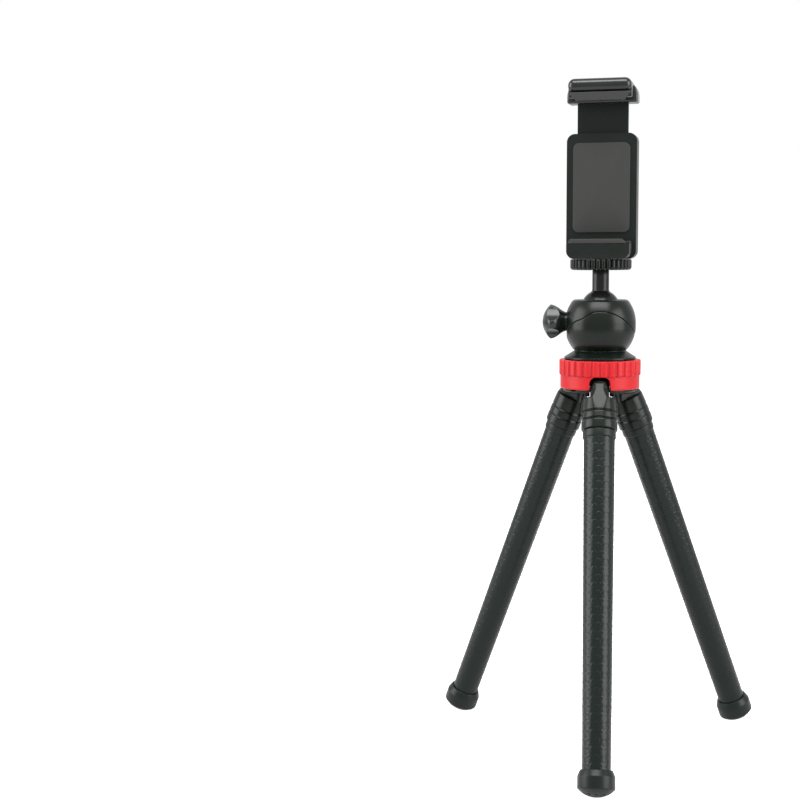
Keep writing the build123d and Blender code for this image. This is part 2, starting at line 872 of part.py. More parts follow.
with BuildPart() as upper_jaw:
    with BuildSketch(front_plane(jaw_back)) as back_face:
        with Locations((0, jaw_back_bottom)):
            Rectangle(clamp_width, jaw_top - jaw_back_bottom, align=(Align.CENTER, Align.MIN))
        fillet(back_face.vertices().group_by(Axis.Y)[-1], jaw_shoulder_radius)
    extrude(amount=jaw_back - gap_back)
    with BuildSketch(front_plane(gap_back)) as lip_face:
        with Locations((0, ceiling)):
            Rectangle(lip_width, jaw_top - ceiling, align=(Align.CENTER, Align.MIN))
        fillet(lip_face.vertices().group_by(Axis.Y)[-1], jaw_lip_end_radius)
    extrude(amount=clamp_front + gap_back)
    with BuildSketch(front_plane(-lip_inside)):
        with Locations((0, ceiling)):
            Rectangle(lip_width, jaw_shell_bottom - ceiling, align=(Align.CENTER, Align.MIN))
    extrude(amount=lip_thickness, mode=Mode.SUBTRACT)
    with BuildSketch(level_plane(jaw_back_bottom)):
        with Locations((0, slider_middle)):
            Rectangle(slider_width + 2 * seat_fit, slider_thickness + 2 * seat_fit)
    extrude(amount=slider_grip, mode=Mode.SUBTRACT)
    with BuildSketch(front_plane(jaw_back)):
        with Locations(*slider_screw_places):
            Circle(slider_screw_radius)
    extrude(amount=slider_screw_length, mode=Mode.SUBTRACT)
    with BuildSketch(front_plane(jaw_back)):
        with Locations(*slider_screw_places):
            Circle(slider_screw_head_radius)
    extrude(amount=slider_screw_head_height, mode=Mode.SUBTRACT)
    front_face = upper_jaw.faces().sort_by(Axis((0, 0, 0), backwards))[0]
    chamfer(front_face.edges().group_by(Axis.Z)[-1], jaw_front_chamfer)
save(upper_jaw.part, "clamp_upper_jaw")

with BuildPart() as slider:
    with BuildSketch(level_plane(slider_bottom)):
        with Locations((0, slider_middle)):
            Rectangle(slider_width, slider_thickness)
    extrude(amount=slider_top - slider_bottom)
    with BuildSketch(level_plane(slider_bottom)):
        with Locations((0, (bar_front + bar_back) / 2)):
            Rectangle(2 * (cavity_half - slider_bar_side_gap), bar_back - bar_front)
    extrude(amount=slider_bar_height)
    with BuildSketch(front_plane(jaw_back)):
        with Locations(*slider_screw_places):
            Circle(slider_screw_radius)
    extrude(amount=slider_screw_length, mode=Mode.SUBTRACT)
save(slider.part, "clamp_slider")

with BuildPart() as slider_screws:
    with BuildSketch(front_plane(jaw_back)):
        with Locations(*slider_screw_places):
            Circle(slider_screw_radius)
    extrude(amount=slider_screw_length)
    with BuildSketch(front_plane(jaw_back)):
        with Locations(*slider_screw_places):
            Circle(slider_screw_head_radius)
    extrude(amount=slider_screw_head_height)
save(slider_screws.part, "clamp_slider_screws")

with BuildPart() as upper_pad:
    with BuildSketch(front_plane(-lip_inside)) as band:
        with Locations((0, phone_top - jaw_lip_drop)):
            Rectangle(
                lip_width - 2 * pad_inset,
                jaw_shell_bottom - phone_top + jaw_lip_drop,
                align=(Align.CENTER, Align.MIN),
            )
        chamfer(band.vertices().group_by(Axis.Y)[0], jaw_pad_chamfer)
    extrude(amount=lip_thickness - pad_inset)
    with BuildSketch(front_plane(gap_back)):
        with Locations((0, phone_top)):
            Rectangle(lip_width - 2 * jaw_pad_chamfer, pad_thickness, align=(Align.CENTER, Align.MIN))
    extrude(amount=gap_depth)
save(upper_pad.part, "upper_jaw_pad")


# Two springs pull the slider down and close the jaws


def quarter_turn(centre, start, climb):
    """Two tangent arcs along a quarter turn of a helix about an upright line."""
    ends = []
    for quarter in (start, start + 1):
        angle = quarter * pi / 2
        place = centre + Vector(cos(angle), sin(angle), 0) * spring_radius + Vector(0, 0, quarter * climb)
        slope = Vector(-sin(angle) * spring_radius * pi / 2, cos(angle) * spring_radius * pi / 2, climb)
        ends.append((place, slope.normalized()))
    (first, first_way), (last, last_way) = ends
    chord = last - first
    both_ways = first_way + last_way
    spread = 2 * (1 - first_way.dot(last_way))
    reach = (sqrt(chord.dot(both_ways) ** 2 + spread * chord.dot(chord)) - chord.dot(both_ways)) / spread
    middle = (first + last + (first_way - last_way) * reach) * 0.5
    middle_way = (last - last_way * reach) - (first + first_way * reach)
    TangentArc(first, middle, tangent=first_way)
    TangentArc(middle, last, tangent=middle_way.normalized())


spring_bottom = jaw_floor + spring_end_gap + spring_wire / 2
spring_top = slider_bottom - spring_end_gap - spring_wire / 2
spring_climb = (spring_top - spring_bottom) / spring_turns / 4
for side, name in ((-1, "clamp_spring_left"), (1, "clamp_spring_right")):
    centre = clamp_point(side * spring_spacing / 2, (cavity_front + clamp_back) / 2, spring_bottom)
    with BuildPart() as spring:
        with BuildLine() as coil:
            for quarter in range(4 * spring_turns):
                quarter_turn(centre, quarter, spring_climb)
        coil_start = coil.wire()
        with BuildSketch(Plane(origin=coil_start @ 0, z_dir=coil_start % 0)):
            Circle(spring_wire / 2)
        sweep(path=coil_start)
    save(spring.part, name)
print(f"gap between the turns of a spring {4 * spring_climb - spring_wire:.2f} mm")
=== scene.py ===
import json

import bmesh
import bpy
import numpy as np
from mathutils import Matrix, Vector

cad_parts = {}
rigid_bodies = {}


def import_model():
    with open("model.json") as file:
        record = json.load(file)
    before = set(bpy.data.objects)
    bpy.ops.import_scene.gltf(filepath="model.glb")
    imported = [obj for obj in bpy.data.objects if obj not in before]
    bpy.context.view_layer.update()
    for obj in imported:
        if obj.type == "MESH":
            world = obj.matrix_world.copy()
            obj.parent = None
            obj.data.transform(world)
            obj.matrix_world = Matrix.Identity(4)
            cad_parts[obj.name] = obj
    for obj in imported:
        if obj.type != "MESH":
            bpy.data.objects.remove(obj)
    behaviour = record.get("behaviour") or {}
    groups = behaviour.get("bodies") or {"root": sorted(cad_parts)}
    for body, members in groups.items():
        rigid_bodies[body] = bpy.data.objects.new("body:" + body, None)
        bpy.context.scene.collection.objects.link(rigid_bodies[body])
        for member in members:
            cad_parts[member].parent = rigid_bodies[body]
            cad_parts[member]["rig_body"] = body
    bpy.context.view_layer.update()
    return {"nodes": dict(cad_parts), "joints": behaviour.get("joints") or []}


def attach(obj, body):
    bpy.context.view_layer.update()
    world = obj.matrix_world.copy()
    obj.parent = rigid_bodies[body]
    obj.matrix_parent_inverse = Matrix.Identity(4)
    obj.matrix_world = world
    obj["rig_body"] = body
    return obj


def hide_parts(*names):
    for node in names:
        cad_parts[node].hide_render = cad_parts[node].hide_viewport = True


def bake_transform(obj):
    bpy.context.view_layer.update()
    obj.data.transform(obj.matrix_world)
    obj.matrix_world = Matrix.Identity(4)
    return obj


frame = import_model()
joints = {joint["name"]: joint for joint in frame["joints"]}
mm = 0.001  # the frame is in metres and the sizes in this file are in millimetres
turn = 2 * np.pi  # a full turn in radians
scene = bpy.context.scene


# Small helpers for shapes. A shell is (points, faces). The rows of a grid run down a piece and its
# columns run round it.

def unit(vector):
    # the vector divided by its length
    vector = np.asarray(vector, float)
    return vector / np.linalg.norm(vector)


def smoothStep(low, high, value):
    # 0 below low, 1 above high, and 3t^2 - 2t^3 between them
    t = np.clip((value - low) / (high - low), 0, 1)
    return t * t * (3 - 2 * t)


def softMin(a, b, blend):
    # the smaller of two values with a round where they cross: b + (a - b) h - blend h (1 - h), where h
    # goes from 0 to 1 while a falls from above b to below it
    h = np.clip(0.5 + 0.5 * (b - a) / blend, 0, 1)
    return b * (1 - h) + a * h - blend * h * (1 - h)


def columnAngles(columns):
    # the angle of each column round a piece
    return np.linspace(0, turn, columns, endpoint=False)


def around(origin, first, second, axis, radius, place, angle):
    # points at the place origin + radius (first cos + second sin) + place axis
    ways = first * np.cos(angle)[..., None] + second * np.sin(angle)[..., None]
    return origin + (radius[..., None] * ways + place[..., None] * axis) * mm


def quads(rows, columns, closedRows=False):
    # the four corners of each cell of a grid that is closed round its columns
    row = np.arange(rows if closedRows else rows - 1)[:, None]
    column = np.arange(columns)[None, :]
    nextRow, nextColumn = (row + 1) % rows, (column + 1) % columns
    corners = [row * columns + column, row * columns + nextColumn,
               nextRow * columns + nextColumn, nextRow * columns + column]
    corners = [np.broadcast_to(corner, (len(row), columns)) for corner in corners]
    return np.stack(corners, -1).reshape(-1, 4)


def outwards(points, faces):
    # a closed surface whose signed volume is negative has its faces turned round
    a, b, c, d = (points[faces[:, corner]] for corner in range(4))
    volume = np.einsum("ij,ij->", a, np.cross(b, c)) + np.einsum("ij,ij->", a, np.cross(c, d))
    return faces if volume > 0 else faces[:, ::-1]


def capped(grid):
    # a grid of rings, closed at both ends by a fan of faces round the end ring's middle point
    rows, columns = grid.shape[:2]
    ends = np.stack([grid[0].mean(0), grid[-1].mean(0)])
    points = np.concatenate([grid.reshape(-1, 3), ends])
    column = np.arange(columns)
    nextColumn = (column + 1) % columns
    top = np.full(columns, rows * columns)
    low = top + 1
    base = (rows - 1) * columns
    topFan = np.stack([top, top, nextColumn, column], -1)
    lowFan = np.stack([low, low, base + column, base + nextColumn], -1)
    faces = np.concatenate([quads(rows, columns), topFan, lowFan])
    return points, outwards(points, faces)


def ringShell(grid):
    # a grid closed both ways, like the skin of a ring
    points = grid.reshape(-1, 3)
    return points, outwards(points, quads(*grid.shape[:2], closedRows=True))


def addObject(name, data):
    # an object with these data, linked to the scene
    thing = bpy.data.objects.new(name, data)
    scene.collection.objects.link(thing)
    return thing


def giveFinish(mesh, finish):
    # the mesh gets the named finish as its one material
    mesh.materials.clear()
    mesh.materials.append(finishes[finish])


def placePiece(name, mesh, finish, sharpAngle):
    # smooth shading with sharp edges where faces meet at more than sharpAngle degrees, and one finish
    mesh.polygons.foreach_set("use_smooth", np.ones(len(mesh.polygons), bool))
    mesh.set_sharp_from_angle(angle=np.radians(sharpAngle))
    giveFinish(mesh, finish)
    return addObject(name, mesh)


def makePiece(name, shells, finish, body=None, replaced=(), sharpAngle=40):
    # joins the shells into one mesh, puts it on its body and hides the CAD nodes that it stands for
    points, faces, start = [], [], 0
    for shellPoints, shellFaces in shells:
        points.append(shellPoints)
        faces.append(shellFaces + start)
        start += len(shellPoints)
    points, faces = np.concatenate(points), np.concatenate(faces)
    twiceFirst = faces[:, 0] == faces[:, 1]
    fans = twiceFirst | (faces[:, 2] == faces[:, 3])
    triangles = np.where(twiceFirst[fans, None], faces[fans, 1:], faces[fans, :3])
    mesh = bpy.data.meshes.new(name)
    mesh.from_pydata(points.tolist(), [], faces[~fans].tolist() + triangles.tolist())
    piece = placePiece(name, mesh, finish, sharpAngle)
    if body:
        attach(piece, body)
    if replaced:
        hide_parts(*replaced)
    return piece


def turned(outline, columns, origin, axis, reference, wobble=None):
    # turns an outline of (radius, place) round an axis. A wobble makes the radius depend on the angle
    outline = np.asarray(outline, float)
    angle = columnAngles(columns)
    radius = np.repeat(outline[:, :1], columns, 1)
    place = np.repeat(outline[:, 1:], columns, 1)
    if wobble:
        radius = wobble(radius, angle[None, :])
    axis = unit(axis)
    first = unit(reference - np.dot(reference, axis) * axis)
    return around(origin, first, np.cross(axis, first), axis, radius, place, angle)


def sectionGrid(section, columns):
    # points (radius, height) of a section, each value a number or one for every column, as two grids
    return (np.array([point[way] * np.ones(columns) for point in section]) for way in (0, 1))


def rounded(corners, steps=5):
    # an outline through corners (x, y, round). An arc of the radius round takes each corner's place and
    # starts round / tan(half the corner's angle) before it; a corner with no round stays sharp
    corners = np.asarray(corners, float)
    line = []
    for before, here, after in zip(np.roll(corners, 1, 0), corners, np.roll(corners, -1, 0)):
        if here[2] == 0:
            line.append(here[None, :2])
            continue
        toBefore, toAfter = unit(before[:2] - here[:2]), unit(after[:2] - here[:2])
        half = np.arccos(toBefore @ toAfter) / 2
        reach = here[2] / np.tan(half)
        centre = here[:2] + unit(toBefore + toAfter) * here[2] / np.sin(half)
        start, end = here[:2] + toBefore * reach - centre, here[:2] + toAfter * reach - centre
        sweep = np.arctan2(start[0] * end[1] - start[1] * end[0], start @ end)
        angle = np.linspace(0, sweep, steps + 1)[:, None]
        across = np.array([-start[1], start[0]])
        line.append(centre + start * np.cos(angle) + across * np.sin(angle))
    return np.concatenate(line)


def bentLine(first, corner, last, steps):
    # points along the curve first (1 - t)^2 + 2 corner t (1 - t) + last t^2
    first, corner, last = (np.asarray(point, float) for point in (first, corner, last))
    share = np.linspace(0, 1, steps)[:, None]
    return first * (1 - share) ** 2 + 2 * corner * share * (1 - share) + last * share ** 2


def block(contour, places, origin, axes, rounds, steps=5):
    # a contour in the first and third of the axes, carried from one place to another along the second and
    # drawn in by a quarter round of its own size at each end
    ahead = np.roll(contour, -1, 0)
    tangent = ahead - np.roll(contour, 1, 0)
    normal = np.stack([tangent[:, 1], -tangent[:, 0]], -1)
    normal /= np.linalg.norm(normal, axis=1)[:, None]
    normal *= np.sign(np.sum(contour[:, 0] * ahead[:, 1] - contour[:, 1] * ahead[:, 0]))
    angle = np.linspace(0, np.pi / 2, steps + 1)
    first, last = rounds
    inset = np.concatenate([first * (1 - np.sin(angle)), last * (1 - np.cos(angle))])
    place = np.concatenate([places[0] + first * (1 - np.cos(angle)),
                            places[1] - last * (1 - np.sin(angle))])
    flat = contour[None] - normal[None] * inset[:, None, None]
    along = np.broadcast_to(place[:, None], flat.shape[:2])
    local = np.stack([flat[..., 0], along, flat[..., 1]], -1)
    return capped(origin + local @ axes * mm)


dressing = {
    "mergeDistance": 1e-6,  # metres
    "flatAngle": 0.002,  # radians; flatter edges go
    "sharpAngle": 32,  # degrees; sharper edges are rounded
    "bevelSegments": 2,
}


def dressNode(name, finish, bevel):
    # a merged copy of a CAD node stands for it, with smooth faces and a small round on each sharp edge
    source = frame["nodes"][name]
    mesh = bpy.data.meshes.new(name + "_skin")
    build = bmesh.new()
    build.from_mesh(source.data)
    bmesh.ops.remove_doubles(build, verts=build.verts, dist=dressing["mergeDistance"])
    bmesh.ops.dissolve_limit(build, angle_limit=dressing["flatAngle"], verts=build.verts,
                             edges=build.edges)
    bmesh.ops.recalc_face_normals(build, faces=build.faces)
    build.to_mesh(mesh)
    build.free()
    piece = placePiece(name + "_skin", mesh, finish, dressing["sharpAngle"])
    edge = piece.modifiers.new("edge", "BEVEL")
    edge.width = bevel * mm
    edge.segments = dressing["bevelSegments"]
    edge.limit_method = "ANGLE"
    edge.angle_limit = np.radians(dressing["sharpAngle"])
    edge.harden_normals = True
    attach(piece, source["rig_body"])
    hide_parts(name)


# Materials

class Wire:
    # a socket whose sums, differences and products are Math nodes
    def __init__(self, tree, socket):
        self.tree, self.socket = tree, socket

    def maths(self, operation, other, swapped=False):
        # one Math node between this wire and another wire or number; swapped puts the other one first
        node = self.tree.nodes.new("ShaderNodeMath")
        node.operation = operation
        for place, value in enumerate((other, self) if swapped else (self, other)):
            if isinstance(value, Wire):
                self.tree.links.new(value.socket, node.inputs[place])
            else:
                node.inputs[place].default_value = value
        return Wire(self.tree, node.outputs[0])

    def __add__(self, other):
        return self.maths("ADD", other)

    def __radd__(self, other):
        return self.maths("ADD", other, True)

    def __sub__(self, other):
        return self.maths("SUBTRACT", other)

    def __rsub__(self, other):
        return self.maths("SUBTRACT", other, True)

    def __mul__(self, other):
        return self.maths("MULTIPLY", other)

    def __rmul__(self, other):
        return self.maths("MULTIPLY", other, True)

    def atMost(self, other):
        return self.maths("MINIMUM", other)


class Finish:
    # the shader nodes of a material or of a world, which all come from one method
    def __init__(self, owner):
        owner.use_nodes = True
        self.tree = owner.node_tree
        self.tree.nodes.clear()

    def node(self, kind, settings=None, output=0, **values):
        # settings are set first, then each input gets its value or its wire. An input is named with _ for
        # a space, or in0, in1 and so on, where it has no name of its own
        node = self.tree.nodes.new("ShaderNode" + kind)
        for key, value in (settings or {}).items():
            setattr(node, key, value)
        for key, value in values.items():
            name = key.replace("_", " ")
            sockets = [socket for socket in node.inputs if socket.name == name and socket.enabled]
            socket = sockets[0] if sockets else node.inputs[int(key[2:])]
            if isinstance(value, Wire):
                self.tree.links.new(value.socket, socket)
            else:
                socket.default_value = value
        return Wire(self.tree, node.outputs[output]) if len(node.outputs) else None

    def noise(self, place, size, detail=3.0):
        # soft noise from 0 to 1 whose patches are about size millimetres across
        return self.node("TexNoise", Vector=place, Scale=1 / (size * mm), Detail=detail, Roughness=0.55)

    def spread(self, value, low, high):
        # low where the value is 0 and high where it is 1
        return value * (high - low) + low

    def colours(self, mask, first, second):
        # first where the mask is 0 and second where it is 1
        return self.node("Mix", {"data_type": "RGBA", "clamp_factor": True}, output=2,
                         Factor=mask, A=(*first, 1), B=(*second, 1))


def makeFinish(name, look):
    # a fine grain in the bump and larger soft patches in the colour and the roughness. With a cell size,
    # the furrows of grained leather are added to the bump
    material = bpy.data.materials.new(name)
    finish = Finish(material)
    if "attribute" in look:
        place = finish.node("Attribute", {"attribute_name": look["attribute"]}, output="Vector")
    else:
        place = finish.node("TexCoord", output="Object")
    grain = finish.noise(place, look["grainSize"], 2.5)
    cloud = finish.noise(place, look["cloudSize"])
    shade = finish.colours(cloud, look["darkColour"], look["lightColour"])
    rough = finish.spread(cloud, look["smooth"], look["rough"]) + (grain - 0.5) * look["grainGloss"]
    height = grain
    if "cellSize" in look:
        cell = finish.node("TexVoronoi", {"feature": "DISTANCE_TO_EDGE"}, Vector=place,
                           Scale=1 / (look["cellSize"] * mm))
        height = grain * look["grainShare"] + (cell * look["furrowSlope"]).atMost(look["furrowDepth"])
    bump = finish.node("Bump", Strength=look["bump"], Distance=look["grainDepth"] * mm, Height=height)
    shader = finish.node("BsdfPrincipled", Base_Color=shade, Roughness=rough, Normal=bump,
                         Metallic=look.get("metal", 0.0), IOR=1.5,
                         Specular_IOR_Level=look.get("sheenLevel", 0.5))
    finish.node("OutputMaterial", Surface=shader)
    return material


looks = {
    "legLeather": dict(
        darkColour=(0.0014, 0.0046, 0.0032), lightColour=(0.0033, 0.0068, 0.0052), smooth=0.24,
        rough=0.34, grainSize=0.5, cloudSize=14, grainGloss=0.12, grainDepth=0.04, bump=0.5,
        cellSize=0.75, sheenLevel=0.22, attribute="legPlace", grainShare=0.4, furrowSlope=2.2,
        furrowDepth=0.6),
    "footRubber": dict(
        darkColour=(0.0014, 0.0046, 0.0037), lightColour=(0.0036, 0.007, 0.006), smooth=0.3, rough=0.42,
        grainSize=0.5, cloudSize=6, grainGloss=0.1, grainDepth=0.03, bump=0.35, sheenLevel=0.22),
    "padRubber": dict(
        darkColour=(0.012, 0.0116, 0.0112), lightColour=(0.018, 0.0174, 0.0168), smooth=0.6, rough=0.78,
        grainSize=0.35, cloudSize=7, grainGloss=0.1, grainDepth=0.04, bump=0.5, sheenLevel=0.4),
    "blackPlastic": dict(
        darkColour=(0.0022, 0.0042, 0.003), lightColour=(0.0046, 0.0068, 0.0054), smooth=0.32, rough=0.44,
        grainSize=0.28, cloudSize=9, grainGloss=0.1, grainDepth=0.022, bump=0.45, sheenLevel=0.22),
    "headPlastic": dict(
        darkColour=(0.0012, 0.0034, 0.0018), lightColour=(0.0026, 0.005, 0.0032), smooth=0.24, rough=0.32,
        grainSize=0.3, cloudSize=10, grainGloss=0.06, grainDepth=0.012, bump=0.3, sheenLevel=0.22),
    "glossBlack": dict(
        darkColour=(0.0034, 0.0052, 0.0042), lightColour=(0.0062, 0.0082, 0.007), smooth=0.17, rough=0.25,
        grainSize=0.6, cloudSize=8, grainGloss=0.03, grainDepth=0.006, bump=0.15, sheenLevel=0.4),
    "redPlastic": dict(
        darkColour=(0.41, 0.0095, 0.013), lightColour=(0.48, 0.014, 0.019), smooth=0.3, rough=0.4,
        grainSize=0.4, cloudSize=9, grainGloss=0.06, grainDepth=0.012, bump=0.3, sheenLevel=0.2),
    "blackMetal": dict(
        darkColour=(0.005, 0.0054, 0.0053), lightColour=(0.009, 0.0095, 0.0093), smooth=0.2, rough=0.3,
        grainSize=0.5, cloudSize=7, grainGloss=0.04, grainDepth=0.006, bump=0.2, sheenLevel=0.2),
    "whiteNylon": dict(
        darkColour=(0.74, 0.73, 0.68), lightColour=(0.82, 0.81, 0.77), smooth=0.42, rough=0.55,
        grainSize=0.4, cloudSize=4, grainGloss=0.1, grainDepth=0.015, bump=0.3),
    "plainSteel": dict(
        darkColour=(0.30, 0.30, 0.31), lightColour=(0.40, 0.40, 0.41), smooth=0.24, rough=0.38,
        grainSize=0.3, cloudSize=3, grainGloss=0.12, grainDepth=0.01, bump=0.3, metal=1.0),
    "plainBrass": dict(
        darkColour=(0.62, 0.46, 0.2), lightColour=(0.72, 0.56, 0.27), smooth=0.26, rough=0.4,
        grainSize=0.3, cloudSize=3, grainGloss=0.12, grainDepth=0.01, bump=0.3, metal=1.0),
    "coreAluminium": dict(
        darkColour=(0.68, 0.68, 0.69), lightColour=(0.76, 0.76, 0.77), smooth=0.3, rough=0.45,
        grainSize=0.3, cloudSize=5, grainGloss=0.12, grainDepth=0.012, bump=0.3, metal=1.0),
}
finishes = {name: makeFinish(name, look) for name, look in looks.items()}
print("materials made:", len(finishes))


# Camera, floor and light

camera = {"place": (-0.00135, -0.74447, 0.24668), "turned": (84.404, 0.211, 7.585), "lens": 66.653,
          "sensor": 36.0, "clip": (0.01, 100)}
lens = bpy.data.cameras.new("studioCamera")
lens.lens, lens.sensor_width = camera["lens"], camera["sensor"]
lens.clip_start, lens.clip_end = camera["clip"]
eye = addObject("studioCamera", lens)
eye.location = camera["place"]
eye.rotation_euler = np.radians(camera["turned"])
scene.camera = eye
scene.view_settings.view_transform = "Standard"

studio = {
    "floorSize": 14.0, "floorColour": (0.9, 0.9, 0.9), "airColour": (1.0, 1.0, 1.0),
    "floorLift": 0.85,  # the glow that makes the floor white to the camera
    "floorShine": 0.3,  # the share of that glow that a reflection sees
    "airSeen": 1.0,  # how bright the air looks
    "airLight": 0.3,  # how bright it is as a light
    "lamps": {
        "leftPanel": dict(place=(-0.99, -0.2, 0.48), aim=(0, 0, 0.28), size=(0.72, 0.8), power=10.8),
        "rightPanel": dict(place=(0.9, -0.44, 0.48), aim=(0, 0, 0.3), size=(0.66, 0.8), power=10.4),
        "topPanel": dict(place=(-0.04, -0.42, 0.98), aim=(0, 0, 0.22), size=(0.8, 0.42), power=10.5),
    },
}


def makeFloor():
    # a flat square, white to the camera and pale to the light, so that it keeps the soft shadow
    half = studio["floorSize"] / 2
    corners = [(-half, -half, 0), (half, -half, 0), (half, half, 0), (-half, half, 0)]
    mesh = bpy.data.meshes.new("studioFloor")
    mesh.from_pydata(corners, [], [(0, 1, 2, 3)])
    material = bpy.data.materials.new("paleFloor")
    finish = Finish(material)
    reflected = finish.node("LightPath", output="Is Glossy Ray")
    seen = finish.node("LightPath", output="Is Camera Ray") + reflected * studio["floorShine"]
    diffuse = finish.node("BsdfDiffuse", Color=(*studio["floorColour"], 1), Roughness=0.5)
    glow = finish.node("Emission", Color=(1, 1, 1, 1), Strength=seen * studio["floorLift"])
    finish.node("OutputMaterial", Surface=finish.node("AddShader", in0=diffuse, in1=glow))
    mesh.materials.append(material)
    addObject("studioFloor", mesh)


def makeAir():
    # white where the camera, a reflection or a clear piece sees it, and softer where it lights the object
    world = bpy.data.worlds.new("studioAir")
    scene.world = world
    finish = Finish(world)
    seen = finish.node("LightPath", output="Is Camera Ray")
    seen = seen + finish.node("LightPath", output="Is Glossy Ray")
    seen = (seen + finish.node("LightPath", output="Is Transmission Ray")).atMost(1.0)
    strength = finish.spread(seen, studio["airLight"], studio["airSeen"])
    background = finish.node("Background", Color=(*studio["airColour"], 1), Strength=strength)
    finish.node("OutputWorld", Surface=background)


def makeLamps():
    # three flat lamps, each turned to face its aim
    for name, lamp in studio["lamps"].items():
        light = bpy.data.lights.new(name, "AREA")
        light.shape = "RECTANGLE"
        light.size, light.size_y = lamp["size"]
        light.energy = lamp["power"]
        holder = addObject(name, light)
        holder.location = lamp["place"]
        aim = Vector(lamp["aim"]) - Vector(lamp["place"])
        holder.rotation_euler = aim.to_track_quat("-Z", "Y").to_euler()


makeFloor()
makeAir()
makeLamps()
print("camera, floor and lamps set")


# Legs. Places along a leg are millimetres from its hinge pin, down the leg.

leg = {
    "columns": 224, "sleeveTop": 22.6, "sleeveStart": 25.8, "sleeveEnd": 184.4, "footStart": 183.0,
    "topRadius": 7.5, "footRadius": 6.65, "middleRadius": 7.1, "rowStep": 0.26, "bendReach": 20.4,
    "scalesRound": 12, "scalePitch": 3.75, "arcPlace": 0.45, "arcRadius": 1.05, "arcWidth": 0.24,
    "arcHeight": 0.1, "arcFade": 0.35, "scaleTilt": 0.055, "tiltEnd": 0.86, "tiltWidth": 1.3,
}


def legFrame(number):
    # the hinge pin's place and the leg's own directions: across (outwards), side and down
    swing = joints[f"leg_{number}_swing"]
    bends = [np.array(joints[f"leg_{number}_bend_{index}"]["pos_m"]) for index in (1, 2, 3)]
    pivot = np.array(swing["pos_m"])
    down = unit(bends[0] - pivot)
    side = unit(swing["axis"])
    across = np.cross(side, down)
    places = [np.dot(bend - pivot, down) / mm for bend in bends]
    return pivot, across, side, down, places


def sleeveRadius(place):
    # a straight taper from the top of the sleeve to the foot
    share = (place - leg["sleeveTop"]) / (leg["footStart"] - leg["sleeveTop"])
    return leg["topRadius"] + (leg["footRadius"] - leg["topRadius"]) * share


def scaleRelief(place, angle):
    # rows of small scales, each row half a scale on from the last. A scale is an arc, arcHeight
    # e^-((d - arcRadius) / arcWidth)^2 high at the distance d from its middle and open below, on a tilt
    # that rises down the row and falls off sideways as e^-(x / tiltWidth)^2
    row = place / leg["scalePitch"]
    down = np.mod(row, 1)
    lateral = angle / turn * leg["scalesRound"] + 0.5 * np.mod(np.floor(row), 2)
    x = (np.mod(lateral, 1) - 0.5) * turn * leg["middleRadius"] / leg["scalesRound"]
    y = (down - leg["arcPlace"]) * leg["scalePitch"]
    arc = np.exp(-((np.hypot(x, y) - leg["arcRadius"]) / leg["arcWidth"]) ** 2)
    arc = arc * smoothStep(leg["arcFade"], -leg["arcFade"], y)
    tilt = down * smoothStep(1.0, leg["tiltEnd"], down) * np.exp(-(x / leg["tiltWidth"]) ** 2)
    return leg["arcHeight"] * arc + leg["scaleTilt"] * tilt


def legSleeve(number, pivot, across, side, down, bends):
    # a tapering tube with the relief on it, in three lengths that each reach over one joint
    edges = [leg["sleeveStart"], (bends[0] + bends[1]) / 2, (bends[1] + bends[2]) / 2, leg["sleeveEnd"]]
    for index, (start, end) in enumerate(zip(edges, edges[1:])):
        rows = int(round((end - start) / leg["rowStep"])) + 1
        place = np.linspace(start, end, rows)[:, None]
        angle = columnAngles(leg["columns"])[None, :]
        radius = sleeveRadius(place) + scaleRelief(place, angle)
        grid = around(pivot, across, side, down, radius, place, angle)
        name = f"leg_{number}_sleeve_skin_{'abc'[index]}"
        bodies = [f"leg_{number}_part_{letter}" for letter in "abcd"[index:index + 2]]
        piece = makePiece(name, [capped(grid)], "legLeather")
        local = np.stack([radius * np.cos(angle), radius * np.sin(angle), place + 0 * angle], -1)
        ends = np.array([[0, 0, start], [0, 0, end]])
        values = np.concatenate([local.reshape(-1, 3), ends]) * mm
        attribute = piece.data.attributes.new("legPlace", "FLOAT_VECTOR", "POINT")
        attribute.data.foreach_set("vector", values.astype(np.float32).ravel())
        reach = leg["bendReach"]
        pivot + down * (bends[index] - reach) * mm
        pivot + down * (bends[index] + reach) * mm
        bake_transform(piece)
        letters = ("ab", "c", "d")[index]
        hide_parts(*[f"leg_{number}_sleeve_{letter}" for letter in letters])


collar = {"inner": 6.4, "radius": 8.0, "start": 22.65, "length": 4.15, "topRound": 0.5, "lowRound": 0.8,
          "columns": 96}


def legCollar(number, pivot, across, down):
    # the thick lip at the top of the sleeve: a ring with a rounded lower edge
    inner, radius, start = collar["inner"], collar["radius"], collar["start"]
    end = start + collar["length"]
    outline = rounded([(inner, start, 0), (radius, start, collar["topRound"]),
                       (radius, end, collar["lowRound"]), (inner, end, 0)], steps=6)
    grid = turned(outline, collar["columns"], pivot, down, across)
    makePiece(f"leg_{number}_collar", [ringShell(grid)], "footRubber", f"leg_{number}_part_a")


